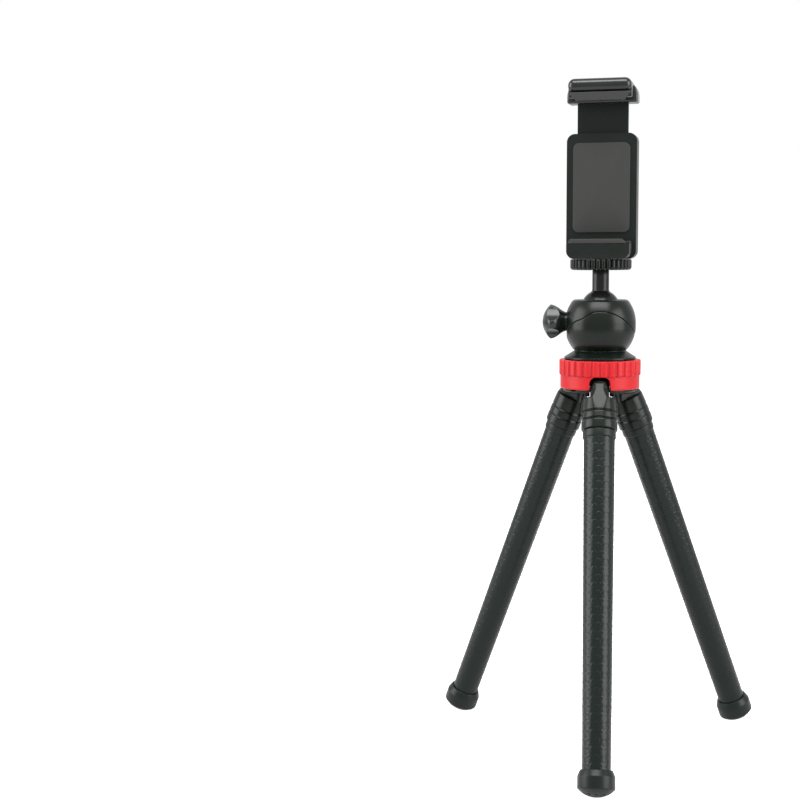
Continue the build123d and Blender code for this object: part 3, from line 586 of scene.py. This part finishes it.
connector = {
    "profile": [(0.0, 6.0), (2.4, 6.3), (4.4, 6.9), (5.5, 7.25), (6.8, 7.75), (7.4, 7.95), (10.0, 8.2),
                (14.0, 8.46), (17.8, 8.7), (20.0, 8.75), (22.1, 8.75), (22.45, 8.6), (22.58, 8.3)],
    # rows from one place to another, closer together at the tip and at the shoulder
    "rows": [(-6.0, -5.2, 8), (-5.2, 6.65, 48), (6.72, 6.98, 6), (7.05, 22.58, 130)], "columns": 144,
    "domeRadius": 6.0, "shoulder": (6.7, 6.9), "tip": 0.1, "flatHalf": 4.6, "flatRound": 0.5,
    "leastSine": 0.115, "leastCosine": 0.2, "facetPlaces": (0.0, 14.0), "facetHeights": (5.75, 8.5),
    "facetOff": 30, "facetRound": 0.25, "facetFade": (-2.5, 0.5),
    "grooves": (13.5, 17.5), "grooveDepth": 0.5, "grooveEdge": (-0.36, -0.22), "grooveRun": (1.3, 1.2),
}


def legConnector(number, pivot, across, side, down):
    # a bullet turned round the leg: sqrt(R^2 - place^2) on the dome and the profile below it. A flat at
    # the distance h lies at the radius h / |sin(angle)|, and softMin cuts the tongue's sides with it. The
    # facet in front and behind is cut the same way with the cosine. A groove's depth falls off below it
    # as (1 - share)^2
    outline = np.array(connector["profile"])
    place = np.unique(np.concatenate([np.linspace(*rows) for rows in connector["rows"]]))
    radius = np.interp(place, outline[:, 0], outline[:, 1])
    dome = place < 0
    radius[dome] = np.sqrt(np.maximum(connector["domeRadius"] ** 2 - place[dome] ** 2, 0))
    reach, run = connector["grooveRun"]
    for groove in connector["grooves"]:
        past = place - groove
        fall = np.clip((reach - past) / run, 0, 1) ** 2
        radius -= connector["grooveDepth"] * smoothStep(*connector["grooveEdge"], past) * fall
    angle = columnAngles(connector["columns"])
    flat = connector["flatHalf"] / np.maximum(np.abs(np.sin(angle)), connector["leastSine"])
    tongue = softMin(radius[:, None], flat[None, :], connector["flatRound"])
    share = smoothStep(*connector["shoulder"], place)[:, None]
    final = tongue * (1 - share) + radius[:, None] * share
    facet = np.interp(place, connector["facetPlaces"], connector["facetHeights"],
                      right=connector["facetOff"])[:, None]
    facet = facet / np.maximum(np.abs(np.cos(angle)), connector["leastCosine"])
    facet = softMin(final, facet, connector["facetRound"])
    share = smoothStep(*connector["facetFade"], place)[:, None]
    final = final * (1 - share) + facet * share
    tip = place[:, None] < place[0] + connector["tip"]
    final = np.where(tip, np.minimum(final, radius[:, None]), final)
    grid = around(pivot, across, side, down, np.maximum(final, 0.02), place[:, None], angle)
    makePiece(f"leg_{number}_connector_skin", [capped(grid)], "headPlastic",
              f"leg_{number}_part_a", [f"leg_{number}_connector"])


foot = {"inner": 5.0, "rim": 7.5, "radius": 8.75, "start": 183.0, "shoulder": 186.0, "dome": 191.5,
        "tip": 195.25, "innerHeight": 3.0, "soleShare": 0.8, "rounds": (0.45, 0.8, 0.9),
        "soleRows": 60, "columns": 120, "dimples": 10, "dimplePlace": 5.3, "dimpleRadius": 0.75,
        "dimpleDepth": 0.45}


def legFoot(number, pivot, across, down):
    # a cup with a sloping shoulder, a straight wall and a domed sole, which is part of a sphere with the
    # radius (r^2 + h^2) / 2h. A dimple is dimpleDepth e^-(d / dimpleRadius)^4 deep
    inner, radius, start, dome = foot["inner"], foot["radius"], foot["start"], foot["dome"]
    rim, shoulder, wall = foot["rounds"]
    rise = foot["tip"] - dome
    sphere = (radius ** 2 + rise ** 2) / (2 * rise)
    edge = radius * foot["soleShare"]
    cup = rounded([(inner, start, 0), (foot["rim"], start, rim), (radius, foot["shoulder"], shoulder),
                   (radius, dome + 0.1, wall), (edge, dome + 1.45, 0)], steps=6)
    reach = np.linspace(edge, 0.05, foot["soleRows"])
    sole = np.stack([reach, foot["tip"] - sphere + np.sqrt(sphere ** 2 - reach ** 2)], -1)
    outline = np.concatenate([[(inner, start + foot["innerHeight"])], cup[:-1], sole])
    grid = turned(outline, foot["columns"], pivot, down, across)
    angle = columnAngles(foot["columns"])[None, :]
    step = turn / foot["dimples"]
    nearest = np.mod(angle + step / 2, step) - step / 2
    x = outline[:, :1] * np.cos(nearest) - foot["dimplePlace"]
    y = outline[:, :1] * np.sin(nearest)
    pit = foot["dimpleDepth"] * np.exp(-(np.hypot(x, y) / foot["dimpleRadius"]) ** 4)
    pit = pit * (outline[:, 1:] > dome)
    grid = grid - pit[..., None] * down * mm
    makePiece(f"leg_{number}_foot_skin", [capped(grid)], "footRubber", f"leg_{number}_part_d",
              [f"leg_{number}_foot"], sharpAngle=50)


for number in (1, 2, 3):
    pivot, across, side, down, bends = legFrame(number)
    legSleeve(number, pivot, across, side, down, bends)
    legCollar(number, pivot, across, down)
    legConnector(number, pivot, across, side, down)
    legFoot(number, pivot, across, down)
print("legs made")


# Ring and head. Heights are millimetres over the floor.

upright = np.array([0.0, 0.0, 1.0])
frontWay = np.array([0.0, -1.0, 0.0])
centre = np.zeros(3)
ringTop = joints["head_pan"]["pos_m"][2] / mm
pinHeight = joints["leg_1_swing"]["pos_m"][2] / mm

redRing = {"inner": 18.36, "skirt": 19.6, "knurl": 20.15, "skirtDrop": 1.5, "knurlRise": 5.1,
           "edge": 0.45, "knurlEdge": [(0.32, 0.0), (0.12, 0.1), (0.0, 0.4)], "lands": 30,
           "grooveDepth": 0.8, "grooveHalf": 0.036, "archHalf": 5.2, "archRise": 4.95, "archRound": 3.2,
           "archFlare": (0.45, 0.02), "skirtRows": 12, "knurlRows": 14,
           "columns": 1080}


def makeRing():
    # the ring's section turned round the axis. Its lower edge rises over each leg as an arch with round
    # corners, sqrt(r^2 - x^2) high. Its upper band has grooves between the lands, grooveDepth
    # e^-|a / grooveHalf|^2.4 deep
    columns, edge, inner = redRing["columns"], redRing["edge"], redRing["inner"]
    angle = columnAngles(columns)
    low, step, top = pinHeight - redRing["skirtDrop"], pinHeight + redRing["knurlRise"], ringTop
    fromLeg = np.mod(angle + turn / 4 + turn / 6, turn / 3) - turn / 6
    x = np.abs(redRing["skirt"] * np.sin(fromLeg))
    half, curve = redRing["archHalf"], redRing["archRound"]
    springLine = pinHeight + redRing["archRise"] - curve
    arch = springLine + np.sqrt(np.maximum(curve ** 2 - np.maximum(x - half + curve, 0) ** 2, 0))
    wide, narrow = redRing["archFlare"]
    flare = smoothStep(half + wide, half + narrow, x) ** 3
    bottom = np.where(x <= half, arch, low + (springLine - low) * flare)
    skirt, knurl = redRing["skirt"], redRing["knurl"]
    near = edge * 0.3
    section = [(inner, bottom), (skirt - edge, bottom), (skirt - near, bottom + near)]
    for share in np.linspace(0, 1, redRing["skirtRows"]):
        section.append((skirt, bottom + edge + (step - 0.05 - bottom - edge) * share))
    section += [(knurl - inset, step + rise) for inset, rise in redRing["knurlEdge"]]
    start = section[-1][1]
    for share in np.linspace(0, 1, redRing["knurlRows"])[1:]:
        section.append((knurl, start + (top - edge - start) * share))
    section += [(knurl - near, top - near), (knurl - edge, top), (inner, top)]
    radius, height = sectionGrid(section, columns)
    landAngle = turn / redRing["lands"]
    fromGroove = np.mod(angle, landAngle) - landAngle / 2
    groove = redRing["grooveDepth"] * np.exp(-np.abs(fromGroove / redRing["grooveHalf"]) ** 2.4)
    knurled = (height >= step - 0.01) & (radius > inner)
    radius = radius - np.where(knurled, groove[None, :], 0)
    grid = np.stack([radius * np.cos(angle), radius * np.sin(angle), height], -1) * mm
    makePiece("lock_ring_skin", [ringShell(grid)], "redPlastic", "base", ["lock_ring"],
              sharpAngle=45)


panCollar = {"inner": 3.0, "rim": 17.7, "rimHeight": 0.95, "height": 3.9, "neck": 12.8, "neckHeight": 0.5,
             "neckFoot": 0.25, "gap": 0.3, "rounds": (0.12, 0.18, 0.5), "columns": 144}


def makePanCollar():
    # a low cone with a thin upright rim, turned round the axis
    inner, rim, neck = panCollar["inner"], panCollar["rim"], panCollar["neck"]
    low = ringTop + panCollar["gap"]
    high = low + panCollar["height"]
    top = high + panCollar["neckHeight"]
    under, over, above = panCollar["rounds"]
    outline = rounded([(inner, low, 0), (rim, low, under), (rim, low + panCollar["rimHeight"], over),
                       (neck + panCollar["neckFoot"], high, above), (neck, top, 0), (inner, top, 0)])
    grid = turned(outline, panCollar["columns"], centre, upright, frontWay)
    makePiece("pan_collar_skin", [ringShell(grid)], "headPlastic", "head", ["pan_collar"])


housing = {"radius": 17.4, "flat": 13.2, "band": 2.3, "proud": 0.12, "splitRadius": 18.4, "crest": 6.9,
           "dip": 1.3, "dipPlace": -8.8, "dipWidth": 3.2, "gap": 0.24, "wall": 1.6, "tongue": 0.8,
           "tongueGap": 0.1, "tongueRise": 1.2, "rimDrop": 0.85, "rimOut": (-0.9, 0.1),
           "seatDepths": (3.0, 0.15), "mouthEdge": [(0.12, -0.03), (0.4, 0.0), (2.0, 0.0)],
           "upperEnd": 0.2, "upperLip": [(0.06, 0.05), (0.22, 0.0)], "lowerEnds": (0.22, 0.5),
           "lowerLip": [(0.25, 0.0), (0.07, -0.06)], "baseEdge": [(0.08, 0.12), (0.4, 0.0)],
           "knobFlat": 5.2, "upperRows": 40, "lowerRows": 56, "columns": 192}
collarTop = ringTop + panCollar["gap"] + panCollar["height"] + panCollar["neckHeight"]
housingHalf = np.sqrt(housing["radius"] ** 2 - housing["flat"] ** 2) + housing["band"] / 2
housingCentre = collarTop + housingHalf
knobHeight = joints["knob_turn"]["pos_m"][2] / mm
knobFlat = np.sqrt(housing["radius"] ** 2 - housing["knobFlat"] ** 2)
ballCentre = joints["ball_tilt"]["pos_m"][2] / mm
ballAndStem = {"ball": 9.8, "stem": 4.15, "flare": 1.1, "flareRise": (0.55, 1.6), "stemStart": 14.5,
               "rise": 19.3, "topEdge": [(0.0, 0.35), (0.1, 0.1), (0.35, 0.0)], "topInner": 1.0,
               "room": 0.15, "rows": 48, "columns": 96}


def housingRadius(height, proud=0.0):
    # sqrt(R^2 - d^2), where d is how far the height lies beyond the straight band round the middle
    beyond = np.maximum(np.abs(height) - housing["band"] / 2, 0)
    return np.sqrt((housing["radius"] + proud) ** 2 - beyond ** 2)


def splitHeight(x, shift):
    # the wavy line is where a round bar lying front to back cuts the skin, at the height sqrt(R^2 - x^2),
    # with a dip of the shape e^-(x / dipWidth)^2 on the knob's side
    radius = housing["splitRadius"] + shift
    dip = housing["dip"] * np.exp(-((x - housing["dipPlace"]) / housing["dipWidth"]) ** 2)
    return housing["crest"] - housing["splitRadius"] + np.sqrt(radius ** 2 - x ** 2) - dip


def splitEdge(angle, proud, shift):
    # for each direction, halves the range of heights until the skin meets the bar
    low, high = np.full(angle.shape, -housingHalf), np.full(angle.shape, housingHalf)
    for _ in range(40):
        middle = (low + high) / 2
        above = middle > splitHeight(housingRadius(middle, proud) * np.cos(angle), shift)
        low, high = np.where(above, low, middle), np.where(above, middle, high)
    return (low + high) / 2


def skinRows(start, end, count, proud=0.0, inset=0.0):
    # rows of (radius, height) on the skin, or inset from it, from one height to another
    heights = [start * (1 - share) + end * share for share in np.linspace(0, 1, count)]
    return [(housingRadius(height, proud) - inset, height) for height in heights]


def makeShell(place, rows):
    # rows of (radius, height) turned round the axis and cut by the flat that the knob stands on
    angle = columnAngles(housing["columns"])
    radius, height = sectionGrid(rows, housing["columns"])
    x = np.maximum(radius * np.cos(angle), -knobFlat)
    grid = np.stack([x, radius * np.sin(angle), height + housingCentre], -1) * mm
    makePiece(f"housing_{place}_skin", [ringShell(grid)], "headPlastic", "head",
              [f"housing_{place}_shell"], sharpAngle=50)


def makeHousing():
    # two hollow shells of one skin, flat above and below and parted along the wavy line. The upper one
    # starts with the ball's seat, sqrt(R^2 - h^2) wide. The lower one has a tongue behind the gap
    angle = columnAngles(housing["columns"])
    wall, half, flat = housing["wall"], housingHalf, housing["flat"]
    proud, drop = housing["proud"], housing["rimDrop"]
    seat = ballCentre - housingCentre
    ball = ballAndStem["ball"] + ballAndStem["room"]
    deep, shallow = housing["seatDepths"]
    rows = [(np.sqrt(ball ** 2 - (height - seat) ** 2), height)
            for height in np.linspace(half - deep, half - shallow, 7)]
    mouth = rows[-1][0]
    rows += [(mouth + out, half + up) for out, up in housing["mouthEdge"]]
    first, corner = ((flat + out, half) for out in housing["rimOut"])
    last = (housingRadius(half - drop, proud), half - drop)
    rows += list(bentLine(first, corner, last, steps=7))
    edge = splitEdge(angle, proud, housing["gap"])
    rows += skinRows(half - drop, edge + housing["upperEnd"], housing["upperRows"], proud)[1:]
    skin = housingRadius(edge, proud)
    rows += [(skin - inset, edge + up) for inset, up in housing["upperLip"]] + [(skin - wall, edge)]
    rows += skinRows(edge, half - wall, 10, inset=wall)[1:]
    makeShell("upper", rows)

    edge = splitEdge(angle, 0.0, 0.0)
    skin = housingRadius(edge)
    outer = wall + housing["tongueGap"]
    inner = outer + housing["tongue"]
    tip = edge + housing["tongueRise"]
    rows = [(skin - inner, edge), (skin - inner, tip), (skin - outer, tip), (skin - outer, edge)]
    rows += [(skin - inset, edge + up) for inset, up in housing["lowerLip"]]
    start, end = housing["lowerEnds"]
    rows += skinRows(edge - start, end - half, housing["lowerRows"])
    rows += [(flat - inset, up - half) for inset, up in housing["baseEdge"]]
    rows += [(mouth, -half), (mouth, wall - half)]
    rows += skinRows(wall - half, edge, 12, inset=inner)[:-1]
    makeShell("lower", rows)


def makeBall():
    # a ball, R cos(a) wide at the height R sin(a), that runs into its stem through a small curve
    ball, stem, flare = ballAndStem["ball"], ballAndStem["stem"], ballAndStem["flare"]
    stemTop = ballCentre + ballAndStem["rise"]
    meeting = np.arcsin((stem + flare) / ball)
    latitude = np.linspace(-np.pi / 2 + 0.01, np.pi / 2 - meeting, ballAndStem["rows"])
    skin = np.stack([ball * np.cos(latitude), ballCentre + ball * np.sin(latitude)], -1)
    corner, end = ((stem, skin[-1, 1] + up) for up in ballAndStem["flareRise"])
    curve = bentLine(skin[-1], corner, end, steps=8)[1:]
    top = [(stem, ballCentre + ballAndStem["stemStart"])]
    top += [(stem - inset, stemTop - drop) for inset, drop in ballAndStem["topEdge"]]
    outline = np.concatenate([skin, curve, top, [(ballAndStem["topInner"], stemTop)]])
    grid = turned(outline, ballAndStem["columns"], centre, upright, frontWay)
    makePiece("ball_and_stem_skin", [capped(grid)], "blackMetal", "ball", ["ball_and_stem"])


lockDisc = {"radius": 15.1, "height": 5.3, "lowRound": 1.6, "face": 9.0, "bore": 3.3, "columns": 432,
            "topEdge": [(0.12, 0.25), (0.4, 0.05), (0.8, 0.0)], "flutes": 36, "fluteDepth": 0.85,
            "fluteFade": (11.5, 14.2), "sideStart": 0.1, "sideEnd": 0.6, "sideRows": 14}


def fluted(radius, angle):
    # round flutes of the depth (0.5 + 0.5 cos(n a))^3 on the disc's rim, which run out at both edges
    wave = 0.5 + 0.5 * np.cos(angle * lockDisc["flutes"])
    return radius - lockDisc["fluteDepth"] * wave ** 3 * smoothStep(*lockDisc["fluteFade"], radius)


def makeDisc():
    # a flat disc with a large round on its lower edge, turned round the axis
    low = joints["lock_disc_turn"]["pos_m"][2] / mm
    high = low + lockDisc["height"]
    radius, curve, face, bore = (lockDisc[key] for key in ("radius", "lowRound", "face", "bore"))
    start, end = low + curve + lockDisc["sideStart"], high - lockDisc["sideEnd"]
    side = [(radius, height) for height in np.linspace(start, end, lockDisc["sideRows"])]
    corner = np.linspace(0, np.pi / 2, 9)
    lowEdge = np.stack([radius - curve * (1 - np.sin(corner)), low + curve * (1 - np.cos(corner))], -1)
    topEdge = [(radius - inset, high - drop) for inset, drop in lockDisc["topEdge"]]
    outline = np.concatenate([[(bore, low), (face, low)], lowEdge, side, topEdge,
                              [(face, high), (bore, high)]])
    grid = turned(outline, lockDisc["columns"], centre, upright, frontWay, fluted)
    makePiece("lock_disc_skin", [ringShell(grid)], "headPlastic", "disc", ["lock_disc"],
              sharpAngle=55)


knob = {"length": 12.0, "gap": 0.06, "radius": 8.5, "neck": 4.7, "belly": 4.0, "flankPower": 1.6,
        "endPower": 1.15, "scallops": 4, "firstLand": 81, "scallopRadius": 14.5, "scallopDepth": 2.0,
        "edge": 0.16, "flankRows": 54, "endRows": 36, "columns": 320}


def makeKnob():
    # a bell turned round the knob's axis: neck + (R - neck) sin(t)^flankPower along the flank, then
    # R sqrt(1 - t^endPower) to the blunt end. Shallow scallops are cut into it, each by a round bar that
    # lies along the axis, and softMin rounds their creases
    start = knobFlat + knob["gap"]
    end = start + knob["length"]
    belly = end - knob["belly"]
    ending = belly + knob["belly"] * np.linspace(0, 1, knob["endRows"]) ** 0.8
    place = np.concatenate([np.linspace(start, belly, knob["flankRows"])[:-1], ending])
    share = np.clip((place - start) / (belly - start), 0, 1)
    flank = np.sin(share * np.pi / 2) ** knob["flankPower"]
    flank = knob["neck"] + (knob["radius"] - knob["neck"]) * flank
    over = np.clip((place - belly) / knob["belly"], 0, 1)
    radius = flank * np.sqrt(np.maximum(1 - over ** knob["endPower"], 0)) + 0.02
    angle = columnAngles(knob["columns"])
    step = turn / knob["scallops"]
    nearest = np.mod(angle - np.radians(knob["firstLand"]), step) - step / 2
    away = knob["radius"] + knob["scallopRadius"] - knob["scallopDepth"]
    inside = np.maximum(knob["scallopRadius"] ** 2 - (away * np.sin(nearest)) ** 2, 0)
    cut = np.where(inside > 0, away * np.cos(nearest) - np.sqrt(inside), away)
    final = np.minimum(softMin(radius[:, None], cut[None, :], knob["edge"]), radius[:, None])
    leftWay = np.array([-1.0, 0.0, 0.0])
    grid = around(upright * knobHeight * mm, upright, -frontWay, leftWay, final, place[:, None], angle)
    makePiece("knob_skin", [capped(grid)], "glossBlack", "clamping_knob", ["knob"],
              sharpAngle=60)


cheek = {"sides": (4.85, 7.4), "inner": -3.9, "outer": 3.4, "low": -4.6, "high": -2.6,
         "rounds": (0.7, 1.3, 0.5), "endRounds": (0.4, 0.4)}


def makeCheeks():
    # two small lugs that hang from the crown beside each leg's tongue
    inner, outer, low, high = (cheek[key] for key in ("inner", "outer", "low", "high"))
    innerRound, outerRound, topRound = cheek["rounds"]
    contour = rounded([(inner, low, innerRound), (outer, low, outerRound), (outer, high, topRound),
                       (inner, high, topRound)])
    shells = []
    for number in (1, 2, 3):
        hinge = joints[f"leg_{number}_swing"]
        pin, side = np.array(hinge["pos_m"]), unit(hinge["axis"])
        outward = unit(pin * (1, 1, 0))
        axes = np.array([outward, side, upright])
        for near, far in (cheek["sides"], [-place for place in reversed(cheek["sides"])]):
            shells.append(block(contour, (near, far), pin, axes, cheek["endRounds"]))
    makePiece("crown_cheeks", shells, "headPlastic", "base")


makeRing()
makePanCollar()
makeHousing()
makeBall()
makeDisc()
makeKnob()
makeCheeks()
print("ring and head made")


# Phone clamp. Its own axes: x across, y backwards, z up from its underside, all in millimetres.

clampYaw = np.radians(-7)  # the clamp is stored turned by this much
clampAxes = np.array([[np.cos(clampYaw), np.sin(clampYaw), 0],
                      [-np.sin(clampYaw), np.cos(clampYaw), 0],
                      [0, 0, 1]])
clampOrigin = upright * joints["clamp_turn"]["pos_m"][2]


def clampBlock(corners, places, rounds, cornerSteps=5, steps=5):
    # a rounded outline in x and z carried from the front to the back, in the clamp's own axes
    return block(rounded(corners, cornerSteps), places, clampOrigin, clampAxes, rounds, steps)


def boxCorners(half, low, top, lowRound, topRound=None):
    # the corners of a rectangle that reaches as far to the left as to the right
    topRound = topRound or lowRound
    return [(-half, low, lowRound), (half, low, lowRound), (half, top, topRound), (-half, top, topRound)]


upperJaw = {"half": 15.35, "bodyHalf": 17.25, "front": -14.0, "back": 9.95, "joinPlace": 2.0, "top": 87.1,
            "barLow": 80.4, "barRound": 3.0, "barCorner": 3.2, "ceiling": 78.0, "slabTop": 82.9,
            "slabRound": 0.4, "bodyLow": 76.2, "bodyRound": 1.0, "shoulder": 7.5}
lowerPad = {"front": -13.6, "inner": -10.2, "back": -1.5, "overlap": 0.1,
            "strip": [(-14.6, 7.4, 0.4), (13.9, 7.4, 0.4), (11.5, 9.86, 0.7), (-13.9, 9.86, 0.9)],
            "sheetHalf": 14.95, "floor": 8.0, "gapTop": 8.8, "sheetRound": 0.2}


def makeUpperJaw():
    # a bar with a fat round along its front, a slab under it and the body behind with its wide shoulders
    top, join, curve, soft = (upperJaw[key] for key in ("top", "joinPlace", "barRound", "bodyRound"))
    bar = boxCorners(upperJaw["half"], upperJaw["barLow"], top, upperJaw["barCorner"])
    slab = boxCorners(upperJaw["half"], upperJaw["ceiling"], upperJaw["slabTop"], upperJaw["slabRound"])
    body = boxCorners(upperJaw["bodyHalf"], upperJaw["bodyLow"], top, soft, upperJaw["shoulder"])
    shells = [clampBlock(bar, (upperJaw["front"], join), (curve, 0.3), cornerSteps=8, steps=8),
              clampBlock(slab, (lowerPad["inner"], join), (0.3, 0.3), cornerSteps=3),
              clampBlock(body, (lowerPad["back"], upperJaw["back"]), (soft, soft), cornerSteps=10)]
    makePiece("upper_jaw_skin", shells, "glossBlack", "sliding_jaw", ["clamp_upper_jaw"])


def makeLowerPad():
    # a strip along the lip whose right end slants, and a thin sheet on the floor of the jaw
    front, inner, back = lowerPad["front"], lowerPad["inner"], lowerPad["back"]
    sheet = boxCorners(*(lowerPad[key] for key in ("sheetHalf", "floor", "gapTop", "sheetRound")))
    shells = [clampBlock(lowerPad["strip"], (front, inner + lowerPad["overlap"]), (0.4, 0.2)),
              clampBlock(sheet, (inner, back), (0.1, 0.1), cornerSteps=3)]
    makePiece("lower_pad_skin", shells, "padRubber", "phone_clamp", ["lower_jaw_pad"])


clampPlates = {
    "back_cover": dict(finish="blackPlastic", slot="black_plastic", half=17.25, low=0.0, top=61.5,
                       corner=4.0, places=(8.4, 9.94), rounds=(0.1, 0.6)),
    "back_pad": dict(finish="padRubber", slot="pad_rubber", half=14.0, low=13.0, top=57.0,
                     corner=3.0, places=(-1.5, -0.6), rounds=(0.35, 0.0)),
}


def makePlate(name, plate):
    # a flat plate with round corners and a rounded rim
    corners = boxCorners(plate["half"], plate["low"], plate["top"], plate["corner"])
    shell = clampBlock(corners, plate["places"], plate["rounds"], cornerSteps=9)
    makePiece(name + "_skin", [shell], plate["finish"], "phone_clamp", ["clamp_" + name])


def makeSpring(name):
    # a steel copy of the spring, with its place baked into its points, that stands for the spring
    source = frame["nodes"][name]
    spring = addObject(name + "_coil", source.data.copy())
    spring.matrix_world = source.matrix_world
    giveFinish(spring.data, "plainSteel")
    corners = np.empty(len(spring.data.vertices) * 3, np.float32)
    spring.data.vertices.foreach_get("co", corners)
    matrix = np.array(spring.matrix_world)
    corners = corners.reshape(-1, 3) @ matrix[:3, :3].T + matrix[:3, 3]
    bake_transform(spring)
    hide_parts(name)


makeUpperJaw()
makeLowerPad()
for name, plate in clampPlates.items():
    makePlate(name, plate)
makeSpring("clamp_spring_left")
makeSpring("clamp_spring_right")
for node, finish, bevel in (
    ("clamp_lower_jaw", "blackPlastic", 0.8), ("clamp_slider", "blackPlastic", 0.3),
    ("upper_jaw_pad", "padRubber", 0.3), ("clamp_cover_screws", "plainSteel", 0.15),
    ("clamp_slider_screws", "plainSteel", 0.15), ("crown", "headPlastic", 0.4),
):
    dressNode(node, finish, bevel)
print("clamp dressed")

inside = {
    "plainSteel": ["leg_hinge_pins", "pan_washer", "pan_bolt", "knob_screw", "camera_stud"],
    "whiteNylon": ["ball_cup", "ball_clamp_shoe"],
    "plainBrass": ["knob_nut", "clamp_thread_insert"],
    "coreAluminium": [f"leg_{number}_core_{letter}" for number in (1, 2, 3) for letter in "abcd"],
}
for finish, nodes in inside.items():
    for node in nodes:
        giveFinish(frame["nodes"][node].data, finish)
print("inner pieces finished")
